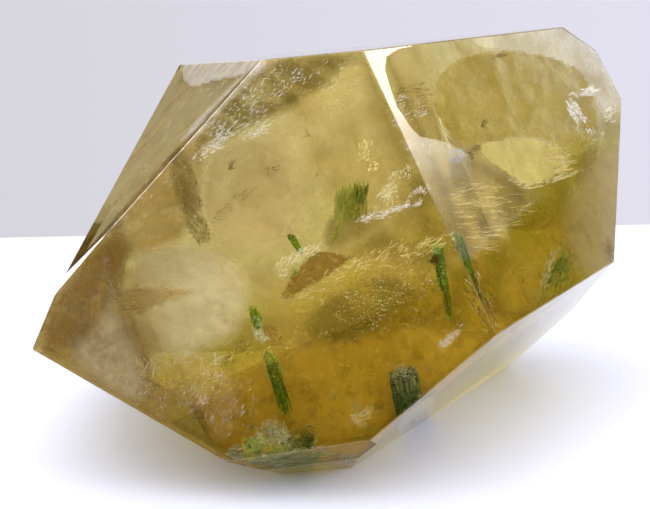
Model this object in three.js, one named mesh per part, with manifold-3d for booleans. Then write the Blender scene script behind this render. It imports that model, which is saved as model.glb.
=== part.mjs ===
// Citrine with tourmaline: one clear honey-yellow piece of a quartz crystal, ground and polished
// to flat facets, with green tourmaline crystals sealed inside it.
// Millimetres, +Z up. The stone rests on its small ground base, and its widest facet looks along -Y.
// The origin is on the surface that it rests on, below the middle of its box.

import * as THREE from "three";
import { mergeVertices } from "three/addons/utils/BufferGeometryUtils.js";
import Module from "manifold-3d";

const wasm = await Module();
wasm.setup();

// The facets as a lapidary would set them: the heading that each one faces (0 is the front, 90 the
// right-hand side), how far it leans up from upright, both in degrees, and how far it lies from
// the stone's heart. front and right are 60 degrees apart, as two faces of a quartz prism are.
const HEART = new THREE.Vector3(-2.6, -10.4, 38);
const FACETS = {
  front: { heading: -4, rise: 8, distance: 33.9 },
  right: { heading: 56.5, rise: 26.5, distance: 34.4 },
  left: { heading: -76.5, rise: 42, distance: 40 },
  left_bevel: { heading: -69.5, rise: 40, distance: 42.4 },
  top: { heading: -140, rise: 81.5, distance: 35.6 },
  left_point: { heading: -94.5, rise: 23, distance: 42.2 },
  left_foot: { heading: -72.5, rise: -58.5, distance: 41.5 },
  front_foot: { heading: 13, rise: -57, distance: 42.6 },
  right_foot: { heading: 60, rise: -44, distance: 34.7 },
  right_end: { heading: 89.5, rise: -12, distance: 52.6 },
  end_foot: { heading: 115, rise: -28, distance: 62.6 },
  back_shoulder: { heading: 147, rise: 61, distance: 56.8 },
  back_right: { heading: 108.5, rise: 27, distance: 69.7 },
  back: { heading: 197, rise: 16.5, distance: 37.3 },
  back_foot: { heading: 196, rise: -30, distance: 51.1 },
};

// An earlier stage of the crystal lies under the front and the right-hand facet, parallel to them.
// The tourmaline grew on it, and the stone is parted there so that each crystal has its pocket.
const GROWTH_UNDER_FRONT = 11.3;
const GROWTH_UNDER_RIGHT = 8;
const PARTING_GAP = 0.3;
const POCKET_CLEARANCE = 0.3;
// No crystal comes closer to a polished facet than this.
const POLISHED_SKIN = 1;

const TOURMALINE_SIDES = 12;
const ROUNDED_TRIANGLE = 0.1;
const BLUNT_TIP = 0.25;

const CITRINE = { color: 0xb9a054, roughness: 0.05, metalness: 0, transparent: true, opacity: 0.45 };
const GREEN = { color: 0x3f7d22, roughness: 0.35, metalness: 0 };
const DARK_GREEN = { color: 0x24501f, roughness: 0.35, metalness: 0 };
const BLUE_BLACK = { color: 0x1d3a33, roughness: 0.4, metalness: 0 };
const PALE_GREEN = { color: 0x9fae7c, roughness: 0.6, metalness: 0 };

// A closed geometry as a solid that can be joined and cut.
function solidOf(geometry) {
  const bare = geometry.clone();
  bare.deleteAttribute("normal");
  bare.deleteAttribute("uv");
  const merged = mergeVertices(bare, 1e-4);
  const triVerts = new Uint32Array(merged.index.array);
  const vertProperties = new Float32Array(merged.attributes.position.array);
  return new wasm.Manifold(new wasm.Mesh({ numProp: 3, vertProperties, triVerts }));
}

function geometryOf(solid) {
  const { vertProperties, triVerts } = solid.getMesh();
  const geometry = new THREE.BufferGeometry();
  geometry.setAttribute("position", new THREE.BufferAttribute(new Float32Array(vertProperties), 3));
  geometry.setIndex(new THREE.BufferAttribute(new Uint32Array(triVerts), 1));
  geometry.computeVertexNormals();
  return geometry;
}

// The direction that a facet faces.
function outward({ heading, rise }) {
  const turn = THREE.MathUtils.degToRad(heading);
  const lean = THREE.MathUtils.degToRad(rise);
  const level = Math.cos(lean);
  return new THREE.Vector3(Math.sin(turn) * level, -Math.cos(turn) * level, Math.sin(lean));
}

// A place inside the stone: how far across (to the right) and up along a facet from the point in
// front of the heart, and how deep under the facet.
function under(facet, [across, up, deep]) {
  const normal = outward(facet);
  const turn = THREE.MathUtils.degToRad(facet.heading);
  const level = new THREE.Vector3(Math.cos(turn), Math.sin(turn), 0);
  const steep = normal.clone().cross(level);
  const place = HEART.clone().addScaledVector(normal, facet.distance - deep);
  return place.addScaledVector(level, across).addScaledVector(steep, up);
}

// Grinds a facet on a solid, inset by some millimetres.
function grind(solid, facet, inset) {
  const normal = outward(facet);
  const reach = normal.dot(HEART) + facet.distance - inset;
  return solid.trimByPlane(normal.negate().toArray(), -reach);
}

// A rough block with its underside at a given height.
function rough(underside) {
  const side = 240;
  return solidOf(new THREE.BoxGeometry(side, side, side).translate(0, 0, side / 2 + underside));
}

function stone(inset) {
  return Object.values(FACETS).reduce((solid, facet) => grind(solid, facet, inset), rough(inset));
}

// The crystal as it was when the tourmaline grew on it, smaller by the inset.
function earlierStage(inset) {
  const belowTheFloor = -10;
  const underFront = grind(rough(belowTheFloor), FACETS.front, GROWTH_UNDER_FRONT + inset);
  return grind(underFront, FACETS.right, GROWTH_UNDER_RIGHT + inset);
}

// Tourmaline grows as a prism whose section is a triangle with bulging sides.
function section(width) {
  const shape = new THREE.Shape();
  for (let i = 0; i < TOURMALINE_SIDES; i++) {
    const angle = (2 * Math.PI * i) / TOURMALINE_SIDES;
    const radius = (width / 2) * (1 + ROUNDED_TRIANGLE * Math.cos(3 * angle));
    const corner = [radius * Math.cos(angle), radius * Math.sin(angle)];
    if (i === 0) shape.moveTo(...corner);
    else shape.lineTo(...corner);
  }
  shape.closePath();
  return shape;
}

// One prism with low tips, from one end to the other. grow makes it larger all round.
function prism({ from, to, width }, grow) {
  const along = to.clone().sub(from);
  const length = along.length();
  along.normalize();
  const wide = width + 2 * grow;
  const tip = wide * BLUNT_TIP;
  const geometry = new THREE.ExtrudeGeometry(section(wide - 2 * tip), {
    depth: length + 2 * grow - 2 * tip,
    bevelThickness: tip,
    bevelSize: tip,
    bevelSegments: 1,
    steps: 1,
    curveSegments: 1,
  });
  geometry.translate(0, 0, tip - grow);
  geometry.applyQuaternion(new THREE.Quaternion().setFromUnitVectors(new THREE.Vector3(0, 0, 1), along));
  geometry.translate(from.x, from.y, from.z);
  return solidOf(geometry);
}

// A rounded lump of fine tourmaline grown together.
function lump({ at, radius }, grow) {
  const geometry = new THREE.IcosahedronGeometry(radius + grow, 1);
  geometry.translate(at.x, at.y, at.z);
  return solidOf(geometry);
}

function needle(facet, from, to, width) {
  return { from: under(facet, from), to: under(facet, to), width };
}

// Fine needles side by side, from a foot line to a line of tips. Every other one is thinner and
// steps back, and every third reaches the full height.
function sheaf(facet, { foot, tips, needles, width }) {
  const [footStart, footEnd, tipStart, tipEnd] = [...foot, ...tips].map((place) => under(facet, place));
  const shortfall = 0.18;
  const step = outward(facet).multiplyScalar(0.4 * width);
  return Array.from({ length: needles }, (_, i) => {
    const share = i / (needles - 1);
    const from = footStart.clone().lerp(footEnd, share);
    const to = tipStart.clone().lerp(tipEnd, share);
    to.lerp(from, i % 3 ? 0 : shortfall).addScaledVector(step, i % 2 ? 1 : -1);
    return { from, to, width: width * (i % 2 ? 1 : 0.8) };
  });
}

const { front, right } = FACETS;

// Each crystal is a list of prisms, or of lumps that are grown together.
const CRYSTALS = {
  tourmaline_broken_top: {
    finish: GREEN,
    prisms: [needle(front, [-14.1, -9, 12.6], [-11.9, -15.2, 11.4], 2.1)],
  },
  tourmaline_broken_base: {
    finish: GREEN,
    prisms: [needle(front, [-11, -16.7, 11.2], [-7.5, -28.2, 9.8], 1.9)],
  },
  tourmaline_short: {
    finish: GREEN,
    prisms: [needle(front, [-7.4, 3.7, 10.5], [-5.1, -0.1, 12.2], 0.9)],
  },
  tourmaline_chip: {
    finish: GREEN,
    prisms: [needle(front, [-6.2, -2.8, 11.8], [-6.9, -4.2, 11], 0.9)],
  },
  tourmaline_ridge: {
    finish: DARK_GREEN,
    prisms: [
      needle(front, [18.1, 2.3, 10.4], [19.5, -5.9, 11.9], 1.6),
      needle(front, [19.3, -4.8, 11.7], [20.8, -11.3, 12.8], 0.8),
    ],
  },
  tourmaline_spray_centre: {
    finish: GREEN,
    prisms: [
      ...sheaf(front, {
        foot: [
          [1.4, 5.7, 11],
          [5.8, 8.4, 12.6],
        ],
        tips: [
          [1, 12.3, 10.4],
          [6.1, 12.8, 12.6],
        ],
        needles: 8,
        width: 1,
      }),
      needle(front, [2.3, 6.6, 11.2], [-0.2, 2.4, 11.3], 0.9),
    ],
  },
  tourmaline_spray_right: {
    finish: GREEN,
    prisms: sheaf(right, {
      foot: [
        [25.4, -14, 7],
        [27.8, -14.3, 7],
      ],
      tips: [
        [9, -23.3, 9],
        [19, -23, 7.5],
      ],
      needles: 8,
      width: 1.1,
    }),
  },
  tourmaline_thick: {
    finish: BLUE_BLACK,
    prisms: [needle(front, [12.9, -19.8, 10], [14.8, -29.7, 13], 4.7)],
  },
  tourmaline_cluster: {
    finish: PALE_GREEN,
    lumps: [
      { at: under(front, [-9.8, -31.6, 10.5]), radius: 2.6 },
      { at: under(front, [-13, -33.6, 9.3]), radius: 2.5 },
      { at: under(front, [-7, -33.4, 11]), radius: 2.6 },
      { at: under(front, [-4.1, -33, 11.6]), radius: 2.2 },
      { at: under(front, [-16.3, -34.9, 8.4]), radius: 1.6 },
      { at: under(front, [-9.2, -35.8, 10]), radius: 2.6 },
      { at: under(front, [-5.2, -36.6, 11]), radius: 2.4 },
    ],
  },
};

function joined(solids) {
  return solids.reduce((whole, solid) => whole.add(solid));
}

function crystal({ prisms = [], lumps = [] }, grow) {
  const members = [...prisms.map((each) => prism(each, grow)), ...lumps.map((each) => lump(each, grow))];
  return joined(members).intersect(stone(POLISHED_SKIN - grow));
}

function named(name, solid, finish) {
  const mesh = new THREE.Mesh(geometryOf(solid), new THREE.MeshStandardMaterial(finish));
  mesh.name = name;
  return mesh;
}

// The largest body of a cut solid, without the slivers left in the creases between lumps.
function largest(solid) {
  return solid.decompose().reduce((most, body) => (body.volume() > most.volume() ? body : most));
}

const pockets = joined(Object.values(CRYSTALS).map((each) => crystal(each, POCKET_CLEARANCE)));
const citrineFront = largest(stone(0).subtract(earlierStage(-PARTING_GAP / 2)).subtract(pockets));
const citrineBack = largest(stone(0).intersect(earlierStage(PARTING_GAP / 2)).subtract(pockets));

const part = new THREE.Group();
part.name = "citrine_with_tourmaline";
part.add(named("citrine_front", citrineFront, CITRINE));
part.add(named("citrine_back", citrineBack, CITRINE));
for (const [name, each] of Object.entries(CRYSTALS)) part.add(named(name, crystal(each, 0), each.finish));

export default part;
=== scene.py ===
# %% [markdown]
# # A citrine with tourmaline, inside and out
# The real thing is one clear, honey-yellow piece of a quartz crystal, ground to flat facets and
# polished like a window. Green tourmaline needles, milky veils and healed cracks lie inside it.
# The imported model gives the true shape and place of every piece, so this lesson only dresses it:
# it builds the clear body over the two packed halves, refines the needles, and adds the faults.

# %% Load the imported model
import math
import random

import bmesh
import bpy
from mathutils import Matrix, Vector, geometry, noise
from mathutils.bvhtree import BVHTree


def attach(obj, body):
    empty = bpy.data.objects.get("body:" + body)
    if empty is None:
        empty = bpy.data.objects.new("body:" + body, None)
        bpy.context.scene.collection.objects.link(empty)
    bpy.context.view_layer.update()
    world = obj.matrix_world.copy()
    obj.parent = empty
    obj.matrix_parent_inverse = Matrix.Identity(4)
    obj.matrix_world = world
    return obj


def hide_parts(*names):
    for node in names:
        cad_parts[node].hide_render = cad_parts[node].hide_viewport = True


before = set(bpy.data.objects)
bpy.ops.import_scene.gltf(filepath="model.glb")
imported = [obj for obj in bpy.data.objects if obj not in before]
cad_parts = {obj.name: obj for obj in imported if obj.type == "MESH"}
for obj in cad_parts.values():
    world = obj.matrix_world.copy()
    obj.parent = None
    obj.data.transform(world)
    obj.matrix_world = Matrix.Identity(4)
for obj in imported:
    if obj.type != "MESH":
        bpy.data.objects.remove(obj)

scene = bpy.context.scene
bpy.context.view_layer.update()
print("nodes in the frame:", sorted(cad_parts))

# %% [markdown]
# ## Units, colours and one helper for nodes
# Blender works in metres and in linear colour. Real stones are measured in millimetres, and
# colours are read as sRGB hex values, so two short functions do the turning. The third adds one
# shader node with its settings and its links, so that a material reads from top to bottom.

# %% Helpers
MM = 0.001


def linear(hex_code):
    """An sRGB hex colour as the linear colour with alpha that Blender's sockets take."""
    channels = [int(hex_code[i:i + 2], 16) / 255 for i in (1, 3, 5)]
    return (*[c / 12.92 if c <= 0.04045 else ((c + 0.055) / 1.055) ** 2.4 for c in channels], 1.0)


def add(tree, kind, inputs=None, **settings):
    """Adds one node. An input is a value, or the socket that it is linked from."""
    made = tree.nodes.new(kind)
    for name, value in settings.items():
        setattr(made, name, value)
    for name, value in (inputs or {}).items():
        if isinstance(value, bpy.types.NodeSocket):
            tree.links.new(value, made.inputs[name])
        else:
            made.inputs[name].default_value = value
    return made


def material(name):
    """An empty node material, its node tree and its output node."""
    made = bpy.data.materials.new(name)
    made.use_nodes = True
    made.node_tree.nodes.clear()
    return made, made.node_tree, add(made.node_tree, "ShaderNodeOutputMaterial")


def mesh_object(name, bm, surface):
    """Turns a bmesh into an object in the scene with its material."""
    data = bpy.data.meshes.new(name)
    bm.to_mesh(data)
    bm.free()
    data.materials.append(surface)
    made = bpy.data.objects.new(name, data)
    scene.collection.objects.link(made)
    return made


# %% [markdown]
# ## The camera
# The photograph's perspective fits a camera a third of a metre in front of the stone, eleven
# centimetres up and tipped 14 degrees down. It comes first, because the faults inside the stone
# are placed where this camera sees them through the polished facets.

# %% Camera
CAMERA_PLACE = Vector((-5.6, -322.4, 113.1)) * MM
CAMERA_TIP = math.radians(14)
PICTURE_WIDTH, PICTURE_HEIGHT = 650, 509
FOCAL_PIXELS = 1700
SENSOR = 36

camera_data = bpy.data.cameras.new("camera")
camera_data.sensor_width = SENSOR
camera_data.lens = FOCAL_PIXELS / PICTURE_WIDTH * SENSOR
camera_data.clip_start = 0.01
camera = bpy.data.objects.new("camera", camera_data)
camera.location = CAMERA_PLACE
camera.rotation_euler = (math.pi / 2 - CAMERA_TIP, 0, 0)
scene.collection.objects.link(camera)
scene.camera = camera
print("lens, mm:", round(camera_data.lens, 1))


def sight_line(x, y):
    """The direction in which the camera sees a pixel of the photograph's frame."""
    right = (x - PICTURE_WIDTH / 2) / FOCAL_PIXELS
    up = (PICTURE_HEIGHT / 2 - y) / FOCAL_PIXELS
    forward = Vector((right, math.cos(CAMERA_TIP) + up * math.sin(CAMERA_TIP),
                      up * math.cos(CAMERA_TIP) - math.sin(CAMERA_TIP)))
    return forward.normalized()


# %% [markdown]
# ## Light and ground
# A white sheet lies under the stone and ends behind it. Past its edge the camera sees a plain
# grey-lavender wall, which here is the world itself, so that nothing blocks the view from
# behind. The wall is lighter on the right. The world is brightest overhead and dimmer behind the
# camera, as a room with a white ceiling is. Each range below says where one tone gives way to
# the next, as a part of the direction's length.

# %% World
WALL_LEFT, WALL_RIGHT = "#d6d5dd", "#e4e2f0"
ROOM = "#c4c3ca"
CEILING = (1.3, 1.3, 1.36, 1)
LEFT, RIGHT = -0.2, 0.2
AHEAD, BEHIND = 0.25, -0.35
WALL_TOP, OVERHEAD = 0.35, 0.8

world = bpy.data.worlds.new("room")
scene.world = world
world.use_nodes = True
sky = world.node_tree
sky.nodes.clear()
facing = add(sky, "ShaderNodeTexCoord").outputs["Generated"]
way = add(sky, "ShaderNodeSeparateXYZ", {"Vector": facing})
across = add(sky, "ShaderNodeMapRange", {"Value": way.outputs["X"], "From Min": LEFT, "From Max": RIGHT})
wall = add(sky, "ShaderNodeMixRGB", {"Fac": across.outputs["Result"], "Color1": linear(WALL_LEFT),
                                     "Color2": linear(WALL_RIGHT)})
behind = add(sky, "ShaderNodeMapRange", {"Value": way.outputs["Y"], "From Min": AHEAD, "From Max": BEHIND})
walls = add(sky, "ShaderNodeMixRGB", {"Fac": behind.outputs["Result"], "Color1": wall.outputs["Color"],
                                      "Color2": linear(ROOM)})
above = add(sky, "ShaderNodeMapRange", {"Value": way.outputs["Z"], "From Min": WALL_TOP,
                                        "From Max": OVERHEAD})
room = add(sky, "ShaderNodeMixRGB", {"Fac": above.outputs["Result"], "Color1": walls.outputs["Color"],
                                     "Color2": CEILING})
glow = add(sky, "ShaderNodeBackground", {"Color": room.outputs["Color"], "Strength": 1.0})
add(sky, "ShaderNodeOutputWorld", {"Surface": glow.outputs["Background"]})
print("world nodes:", len(sky.nodes))

# %% [markdown]
# ### The white sheet
# Paper has no gloss to speak of: its fibres scatter the light, so it is rough and hardly mirrors.
# Its far edge is laid where the photograph shows it, a little nearer on the left. It lies a hair
# under the stone, so that the two never share a surface.

# %% Floor
PAPER = "#f2f4fe"
PAPER_ROUGHNESS = 0.85
PAPER_GLOSS = 0.2
UNDER_STONE = -0.2
EDGE_LEFT = Vector((-98.6, 151.6, UNDER_STONE)) * MM
EDGE_RIGHT = Vector((91.4, 168.6, UNDER_STONE)) * MM
FLOOR_REACH = 1.2

paper, tree, out = material("matt_white_paper")
matt = add(tree, "ShaderNodeBsdfPrincipled", {
    "Base Color": linear(PAPER), "Roughness": PAPER_ROUGHNESS, "Specular IOR Level": PAPER_GLOSS})
tree.links.new(matt.outputs["BSDF"], out.inputs["Surface"])

bm = bmesh.new()
along_edge = (EDGE_RIGHT - EDGE_LEFT).normalized()
corners = [EDGE_LEFT - along_edge * FLOOR_REACH, EDGE_RIGHT + along_edge * FLOOR_REACH,
           Vector((FLOOR_REACH, -FLOOR_REACH, UNDER_STONE * MM)),
           Vector((-FLOOR_REACH, -FLOOR_REACH, UNDER_STONE * MM))]
bm.faces.new([bm.verts.new(c) for c in reversed(corners)])
floor = mesh_object("floor", bm, paper)
print("sheet reaches, m:", FLOOR_REACH)

# %% [markdown]
# ### Lamps
# Three soft lamps stand in for a window, the lit ceiling and an open door on the right. Big
# sources give the soft shadow under the stone. The stone throws its own yellow light on the paper
# beside the foot, so a fourth lamp, narrow and cool, makes the paper there as neutral as the
# photograph shows it.

# %% Lamps
DAYLIGHT, DOORWAY, BLUE_SKY = "#f0f2ff", "#e8ecff", "#ced8ff"
STONE_MIDDLE = (0, 0, 0.03)
PAPER_BY_THE_FOOT = (0.025, -0.005, 0.0)
NARROW = math.radians(16)


def lamp(name, kind, place, target, power, colour, **settings):
    """A lamp of a kind at a place, aimed at a target, with its power in watts."""
    data = bpy.data.lights.new(name, kind)
    data.energy = power
    data.color = linear(colour)[:3]
    for setting, value in settings.items():
        setattr(data, setting, value)
    made = bpy.data.objects.new(name, data)
    made.location = place
    made.rotation_euler = (Vector(target) - Vector(place)).to_track_quat("-Z", "Y").to_euler()
    scene.collection.objects.link(made)


lamp("window", "AREA", (-0.4, 0.25, 0.6), STONE_MIDDLE, 0.5, DAYLIGHT, shape="SQUARE", size=0.5)
lamp("ceiling", "AREA", (-0.25, -0.75, 1.1), STONE_MIDDLE, 8.2, DAYLIGHT, shape="SQUARE", size=1.3)
lamp("open_door", "AREA", (0.3, -0.2, 0.3), STONE_MIDDLE, 0.16, DOORWAY, shape="SQUARE", size=0.25)
lamp("sky_by_the_foot", "SPOT", (0.25, -0.25, 0.25), PAPER_BY_THE_FOOT, 2.0, BLUE_SKY, spot_size=NARROW,
     spot_blend=1.0, shadow_soft_size=0.04, specular_factor=0.0)
print("lamps:", len(bpy.data.lights))

# %% [markdown]
# ## The clear body
# The stone is one piece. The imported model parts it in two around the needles, so the clear body
# is built anew as the hull of both halves: the same facets, with no gap inside. Each edge gets a
# bevel of a fifth of a millimetre, the rounding that polishing leaves, which catches a line of
# light. The sharp hull is kept as a list of planes, for placing things under the facets later.

# %% Outer form of the stone
EDGE_ROUNDING = 0.22 * MM
SAME_CORNER = 0.02 * MM
FLAT = math.radians(0.3)
HALVES = ("citrine_front", "citrine_back")


def keep_hull(bm, same_corner):
    """Wraps a mesh in its convex hull, drops what is inside, and merges corners that coincide."""
    hull = bmesh.ops.convex_hull(bm, input=bm.verts)
    spare = {v for v in hull["geom_interior"] + hull["geom_unused"] if isinstance(v, bmesh.types.BMVert)}
    bmesh.ops.delete(bm, geom=list(spare), context="VERTS")
    bmesh.ops.remove_doubles(bm, verts=bm.verts, dist=same_corner)


bm = bmesh.new()
for half in HALVES:
    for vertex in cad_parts[half].data.vertices:
        bm.verts.new(vertex.co)
keep_hull(bm, SAME_CORNER)
bmesh.ops.dissolve_limit(bm, angle_limit=FLAT, verts=bm.verts, edges=bm.edges)
bmesh.ops.recalc_face_normals(bm, faces=bm.faces)
print("facets:", len(bm.faces), "corners:", len(bm.verts))
facets = BVHTree.FromBMesh(bm)
facet_planes = [(f.verts[0].co.copy(), f.normal.copy()) for f in bm.faces]
bmesh.ops.bevel(bm, geom=list(bm.edges), offset=EDGE_ROUNDING, segments=2, profile=0.5,
                affect="EDGES", clamp_overlap=True)

# %% [markdown]
# ### Citrine
# Citrine is quartz with a trace of iron. Polished quartz is a plain dielectric with IOR 1.544
# and no roughness to speak of, and its colour isn't on the surface but in the depth: light that
# crosses a centimetre of it loses a little red, more green and most blue. Volume Absorption
# takes away density times (1 - colour) for each metre, so the colour below is worked out from
# what is lost on the way. A lap never leaves a facet perfectly flat, and the swells, a few
# thousandths of a millimetre deep and a centimetre long, make what is seen through it waver.

# %% Citrine material
QUARTZ_IOR = 1.544
LOST_PER_METRE = Vector((7.5, 10.0, 27.0))
ABSORPTION_DENSITY = 80.0
SWELL_LENGTH = 9 * MM
SWELL_HEIGHT = 0.004 * MM


def absorption(tree, lost):
    """A volume that takes the given shares of red, green and blue light out of each metre."""
    kept = [1 - value / ABSORPTION_DENSITY for value in lost]
    volume = add(tree, "ShaderNodeVolumeAbsorption", {"Color": (*kept, 1.0), "Density": ABSORPTION_DENSITY})
    return volume.outputs["Volume"]


citrine, tree, out = material("polished_citrine")
place = add(tree, "ShaderNodeTexCoord").outputs["Object"]
swells = add(tree, "ShaderNodeTexNoise", {"Vector": place, "Scale": 1 / SWELL_LENGTH, "Detail": 1.0})
lapped = add(tree, "ShaderNodeBump", {"Height": swells.outputs["Fac"], "Distance": SWELL_HEIGHT})
glass = add(tree, "ShaderNodeBsdfPrincipled", {
    "Base Color": (1, 1, 1, 1), "Roughness": 0.0, "IOR": QUARTZ_IOR, "Transmission Weight": 1.0,
    "Normal": lapped.outputs["Normal"]})
tree.links.new(glass.outputs["BSDF"], out.inputs["Surface"])
tree.links.new(absorption(tree, LOST_PER_METRE), out.inputs["Volume"])

stone = mesh_object("citrine_stone", bm, citrine)
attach(stone, "root")
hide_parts("citrine_front", "citrine_back")
print("stone faces:", len(stone.data.polygons))

# %% [markdown]
# ### Light through the stone
# Real quartz lets the lamps shine through. The renderer would give it the hard dark shadow of a
# solid, so its shadow is switched off for the lamps, and the soft shadow on the paper comes from
# the light of the room. Light is thrown to and fro between the facets, so its path may turn far
# more often than among opaque things, and a sight line may cross dozens of see-through veils.

# %% Settings that glass needs
stone.visible_shadow = False
scene.view_settings.view_transform = "Standard"
scene.cycles.max_bounces = 28
scene.cycles.transmission_bounces = 24
scene.cycles.glossy_bounces = 12
scene.cycles.diffuse_bounces = 3
scene.cycles.transparent_max_bounces = 96
print("turns of a light path:", scene.cycles.max_bounces)

# %% [markdown]
# ## Finding a place inside the stone
# What lies inside is seen bent, like a coin in water. To put a veil or a needle where the
# photograph shows it, its pixel is followed from the camera to the polished facet, bent there by
# the law of refraction, and followed on to the depth wanted below the facet. A facet is named by
# a pixel that it fills, and its plane is widened, so that a sight line just past its edge counts.

# %% Places under the facets
SKIN = 0.3 * MM     # the least depth, and a part of the least thickness
DEEPEST = 0.88      # of the way to the far side
HAIR = 1e-6


def facet_met(x, y, at):
    """A sight line, where it meets the widened plane of the facet at another pixel, and its normal."""
    line = sight_line(x, y)
    hit, normal, _, _ = facets.ray_cast(CAMERA_PLACE, sight_line(*at))
    return line, CAMERA_PLACE + line * ((hit - CAMERA_PLACE).dot(normal) / line.dot(normal)), normal


def seen_through(x, y, deep, at):
    """The point in the stone seen at a pixel, deep mm under its facet but well before its far side."""
    line, hit, normal = facet_met(x, y, at)
    cosine = -line.dot(normal)
    ratio = 1 / QUARTZ_IOR
    bent = line * ratio + normal * (ratio * cosine - math.sqrt(1 - ratio ** 2 * (1 - cosine ** 2)))
    wanted = deep * MM / -bent.dot(normal)
    start = 0.0
    _, side, _, reach = facets.ray_cast(hit + bent * HAIR, bent)
    if reach is not None and side.dot(bent) < 0:
        start = reach
        _, _, _, more = facets.ray_cast(hit + bent * (reach + HAIR), bent)
        reach = None if more is None else reach + more
    if reach is None or reach - start < 3 * SKIN:
        return None
    return hit + bent * max(min(wanted, start + (reach - start) * DEEPEST), start + SKIN)


def keep_inside(bm, skin):
    """Cuts off what comes closer than skin mm to a facet, or beyond it."""
    for corner, normal in facet_planes:
        inner = corner - normal * skin * MM
        if any((v.co - inner).dot(normal) > 0 for v in bm.verts):
            bmesh.ops.bisect_plane(bm, geom=bm.verts[:] + bm.edges[:] + bm.faces[:], plane_co=inner,
                                   plane_no=normal, clear_outer=True)


# %% [markdown]
# ### Outlines in pixels
# The edge of a veil is read off the photograph as a few points. Cutting its corners off twice
# makes it as soft as a real one. A veil also thins out towards its edge, so each point needs to
# know how far inside it lies.

# %% Outlines
CORNER = 0.25       # of a side


def rounded(outline, times):
    """Cuts the corners off a closed outline, so that a few points make a soft shape."""
    for _ in range(times):
        sides = zip(outline, outline[1:] + outline[:1])
        outline = [(a[0] * (1 - cut) + b[0] * cut, a[1] * (1 - cut) + b[1] * cut)
                   for a, b in sides for cut in (CORNER, 1 - CORNER)]
    return outline


def inside_by(x, y, outline):
    """How many pixels a point lies inside an outline. Outside it the answer is negative."""
    here = Vector((x, y, 0))
    within = False
    nearest = math.inf
    for (ax, ay), (bx, by) in zip(outline, outline[1:] + outline[:1]):
        if (ay > y) != (by > y) and x < ax + (y - ay) / (by - ay) * (bx - ax):
            within = not within
        closest, share = geometry.intersect_point_line(here, Vector((ax, ay, 0)), Vector((bx, by, 0)))
        closest = Vector((ax, ay, 0)).lerp(Vector((bx, by, 0)), min(max(share, 0), 1))
        nearest = min(nearest, (closest - here).length)
    return nearest if within else -nearest


def smooth(share):
    """Eases a share between 0 and 1."""
    share = min(max(share, 0), 1)
    return share * share * (3 - 2 * share)


# %% [markdown]
# ### Grids of pixels
# A veil is a grid of such pixels, each followed into the stone. One that just misses the stone is
# drawn in towards the middle of the outline, so that a veil reaches the very edge of its facet.

# %% Grids
PROBE = 1.0         # mm


def pixel_grid(outline, step, at):
    """Every step-th pixel inside an outline, with how far inside it lies. One that misses the stone
    by less than two steps is drawn in to its edge."""
    xs, ys = [p[0] for p in outline], [p[1] for p in outline]
    middle = Vector((sum(xs) / len(xs), sum(ys) / len(ys)))
    places = {}
    for column in range(int(min(xs) // step), int(max(xs) // step) + 2):
        for row in range(int(min(ys) // step), int(max(ys) // step) + 2):
            depth_in = inside_by(column * step, row * step, outline)
            if depth_in < 0:
                continue
            spot = Vector((column * step, row * step))
            inwards = (middle - spot).normalized()
            for nudge in range(2 * step + 1):
                if seen_through(*(spot + inwards * nudge), PROBE, at):
                    places[column, row] = (*(spot + inwards * nudge), depth_in)
                    break
    return places


def squares(places):
    """The squares of a pixel grid whose four corners are all there."""
    for column, row in places:
        loop = [(column, row), (column, row + 1), (column + 1, row + 1), (column + 1, row)]
        if all(key in places for key in loop):
            yield loop


# %% [markdown]
# ## Colour zones
# A quartz crystal grows in sectors, and each takes up its own share of iron, so the colour has
# broad soft steps. A sector is cut here from a slightly smaller copy of the stone by one plane.
# It has the IOR of the stone around it, which in Blender is an IOR of 1 for a body inside glass:
# no surface shows, and only its absorption darkens the light, more where it is thicker.

# %% Sectors
SECTOR_SCALE = 0.982
SAME_SECTOR_CORNER = 0.05 * MM
DEEP_HONEY, SMOKY = (7, 8.5, 38), (8, 11, 20)       # lost per metre of red, green and blue


def zone_material(name, lost):
    """Quartz of another colour within the quartz: no surface, only a further loss of light."""
    made, tree, out = material(name)
    body = add(tree, "ShaderNodeBsdfPrincipled", {
        "Base Color": (1, 1, 1, 1), "Roughness": 0.0, "IOR": 1.0, "Transmission Weight": 1.0})
    tree.links.new(body.outputs["BSDF"], out.inputs["Surface"])
    tree.links.new(absorption(tree, lost), out.inputs["Volume"])
    return made


def inner_piece(made):
    """A fault or colour zone belongs to the one body."""
    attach(made, "root")
    return made


def sector(name, surface, point, direction):
    """The part of the stone that lies beyond a point, in a direction."""
    bm = bmesh.new()
    for half in HALVES:
        bm.from_mesh(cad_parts[half].data)
    keep_hull(bm, SAME_SECTOR_CORNER)
    middle = sum((v.co for v in bm.verts), Vector()) / len(bm.verts)
    for vertex in bm.verts:
        vertex.co = middle.lerp(vertex.co, SECTOR_SCALE)
    bmesh.ops.bisect_plane(bm, geom=bm.verts[:] + bm.edges[:] + bm.faces[:], clear_inner=True,
                           plane_co=Vector(point) * MM, plane_no=Vector(direction).normalized())
    bmesh.ops.holes_fill(bm, edges=[e for e in bm.edges if e.is_boundary])
    bmesh.ops.recalc_face_normals(bm, faces=bm.faces)
    print(name, "faces:", len(bm.faces), "open edges:", sum(e.is_boundary for e in bm.edges))
    inner_piece(mesh_object(name, bm, surface))


honey = zone_material("deep_honey_quartz", DEEP_HONEY)
smoky = zone_material("smoky_quartz", SMOKY)
sector("honey_sector", honey, (6, -20, 32), (0.42, 0.0, -0.9))
sector("smoky_tip", smoky, (-38, -20, 25), (-0.9, -0.3, -0.3))

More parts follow.
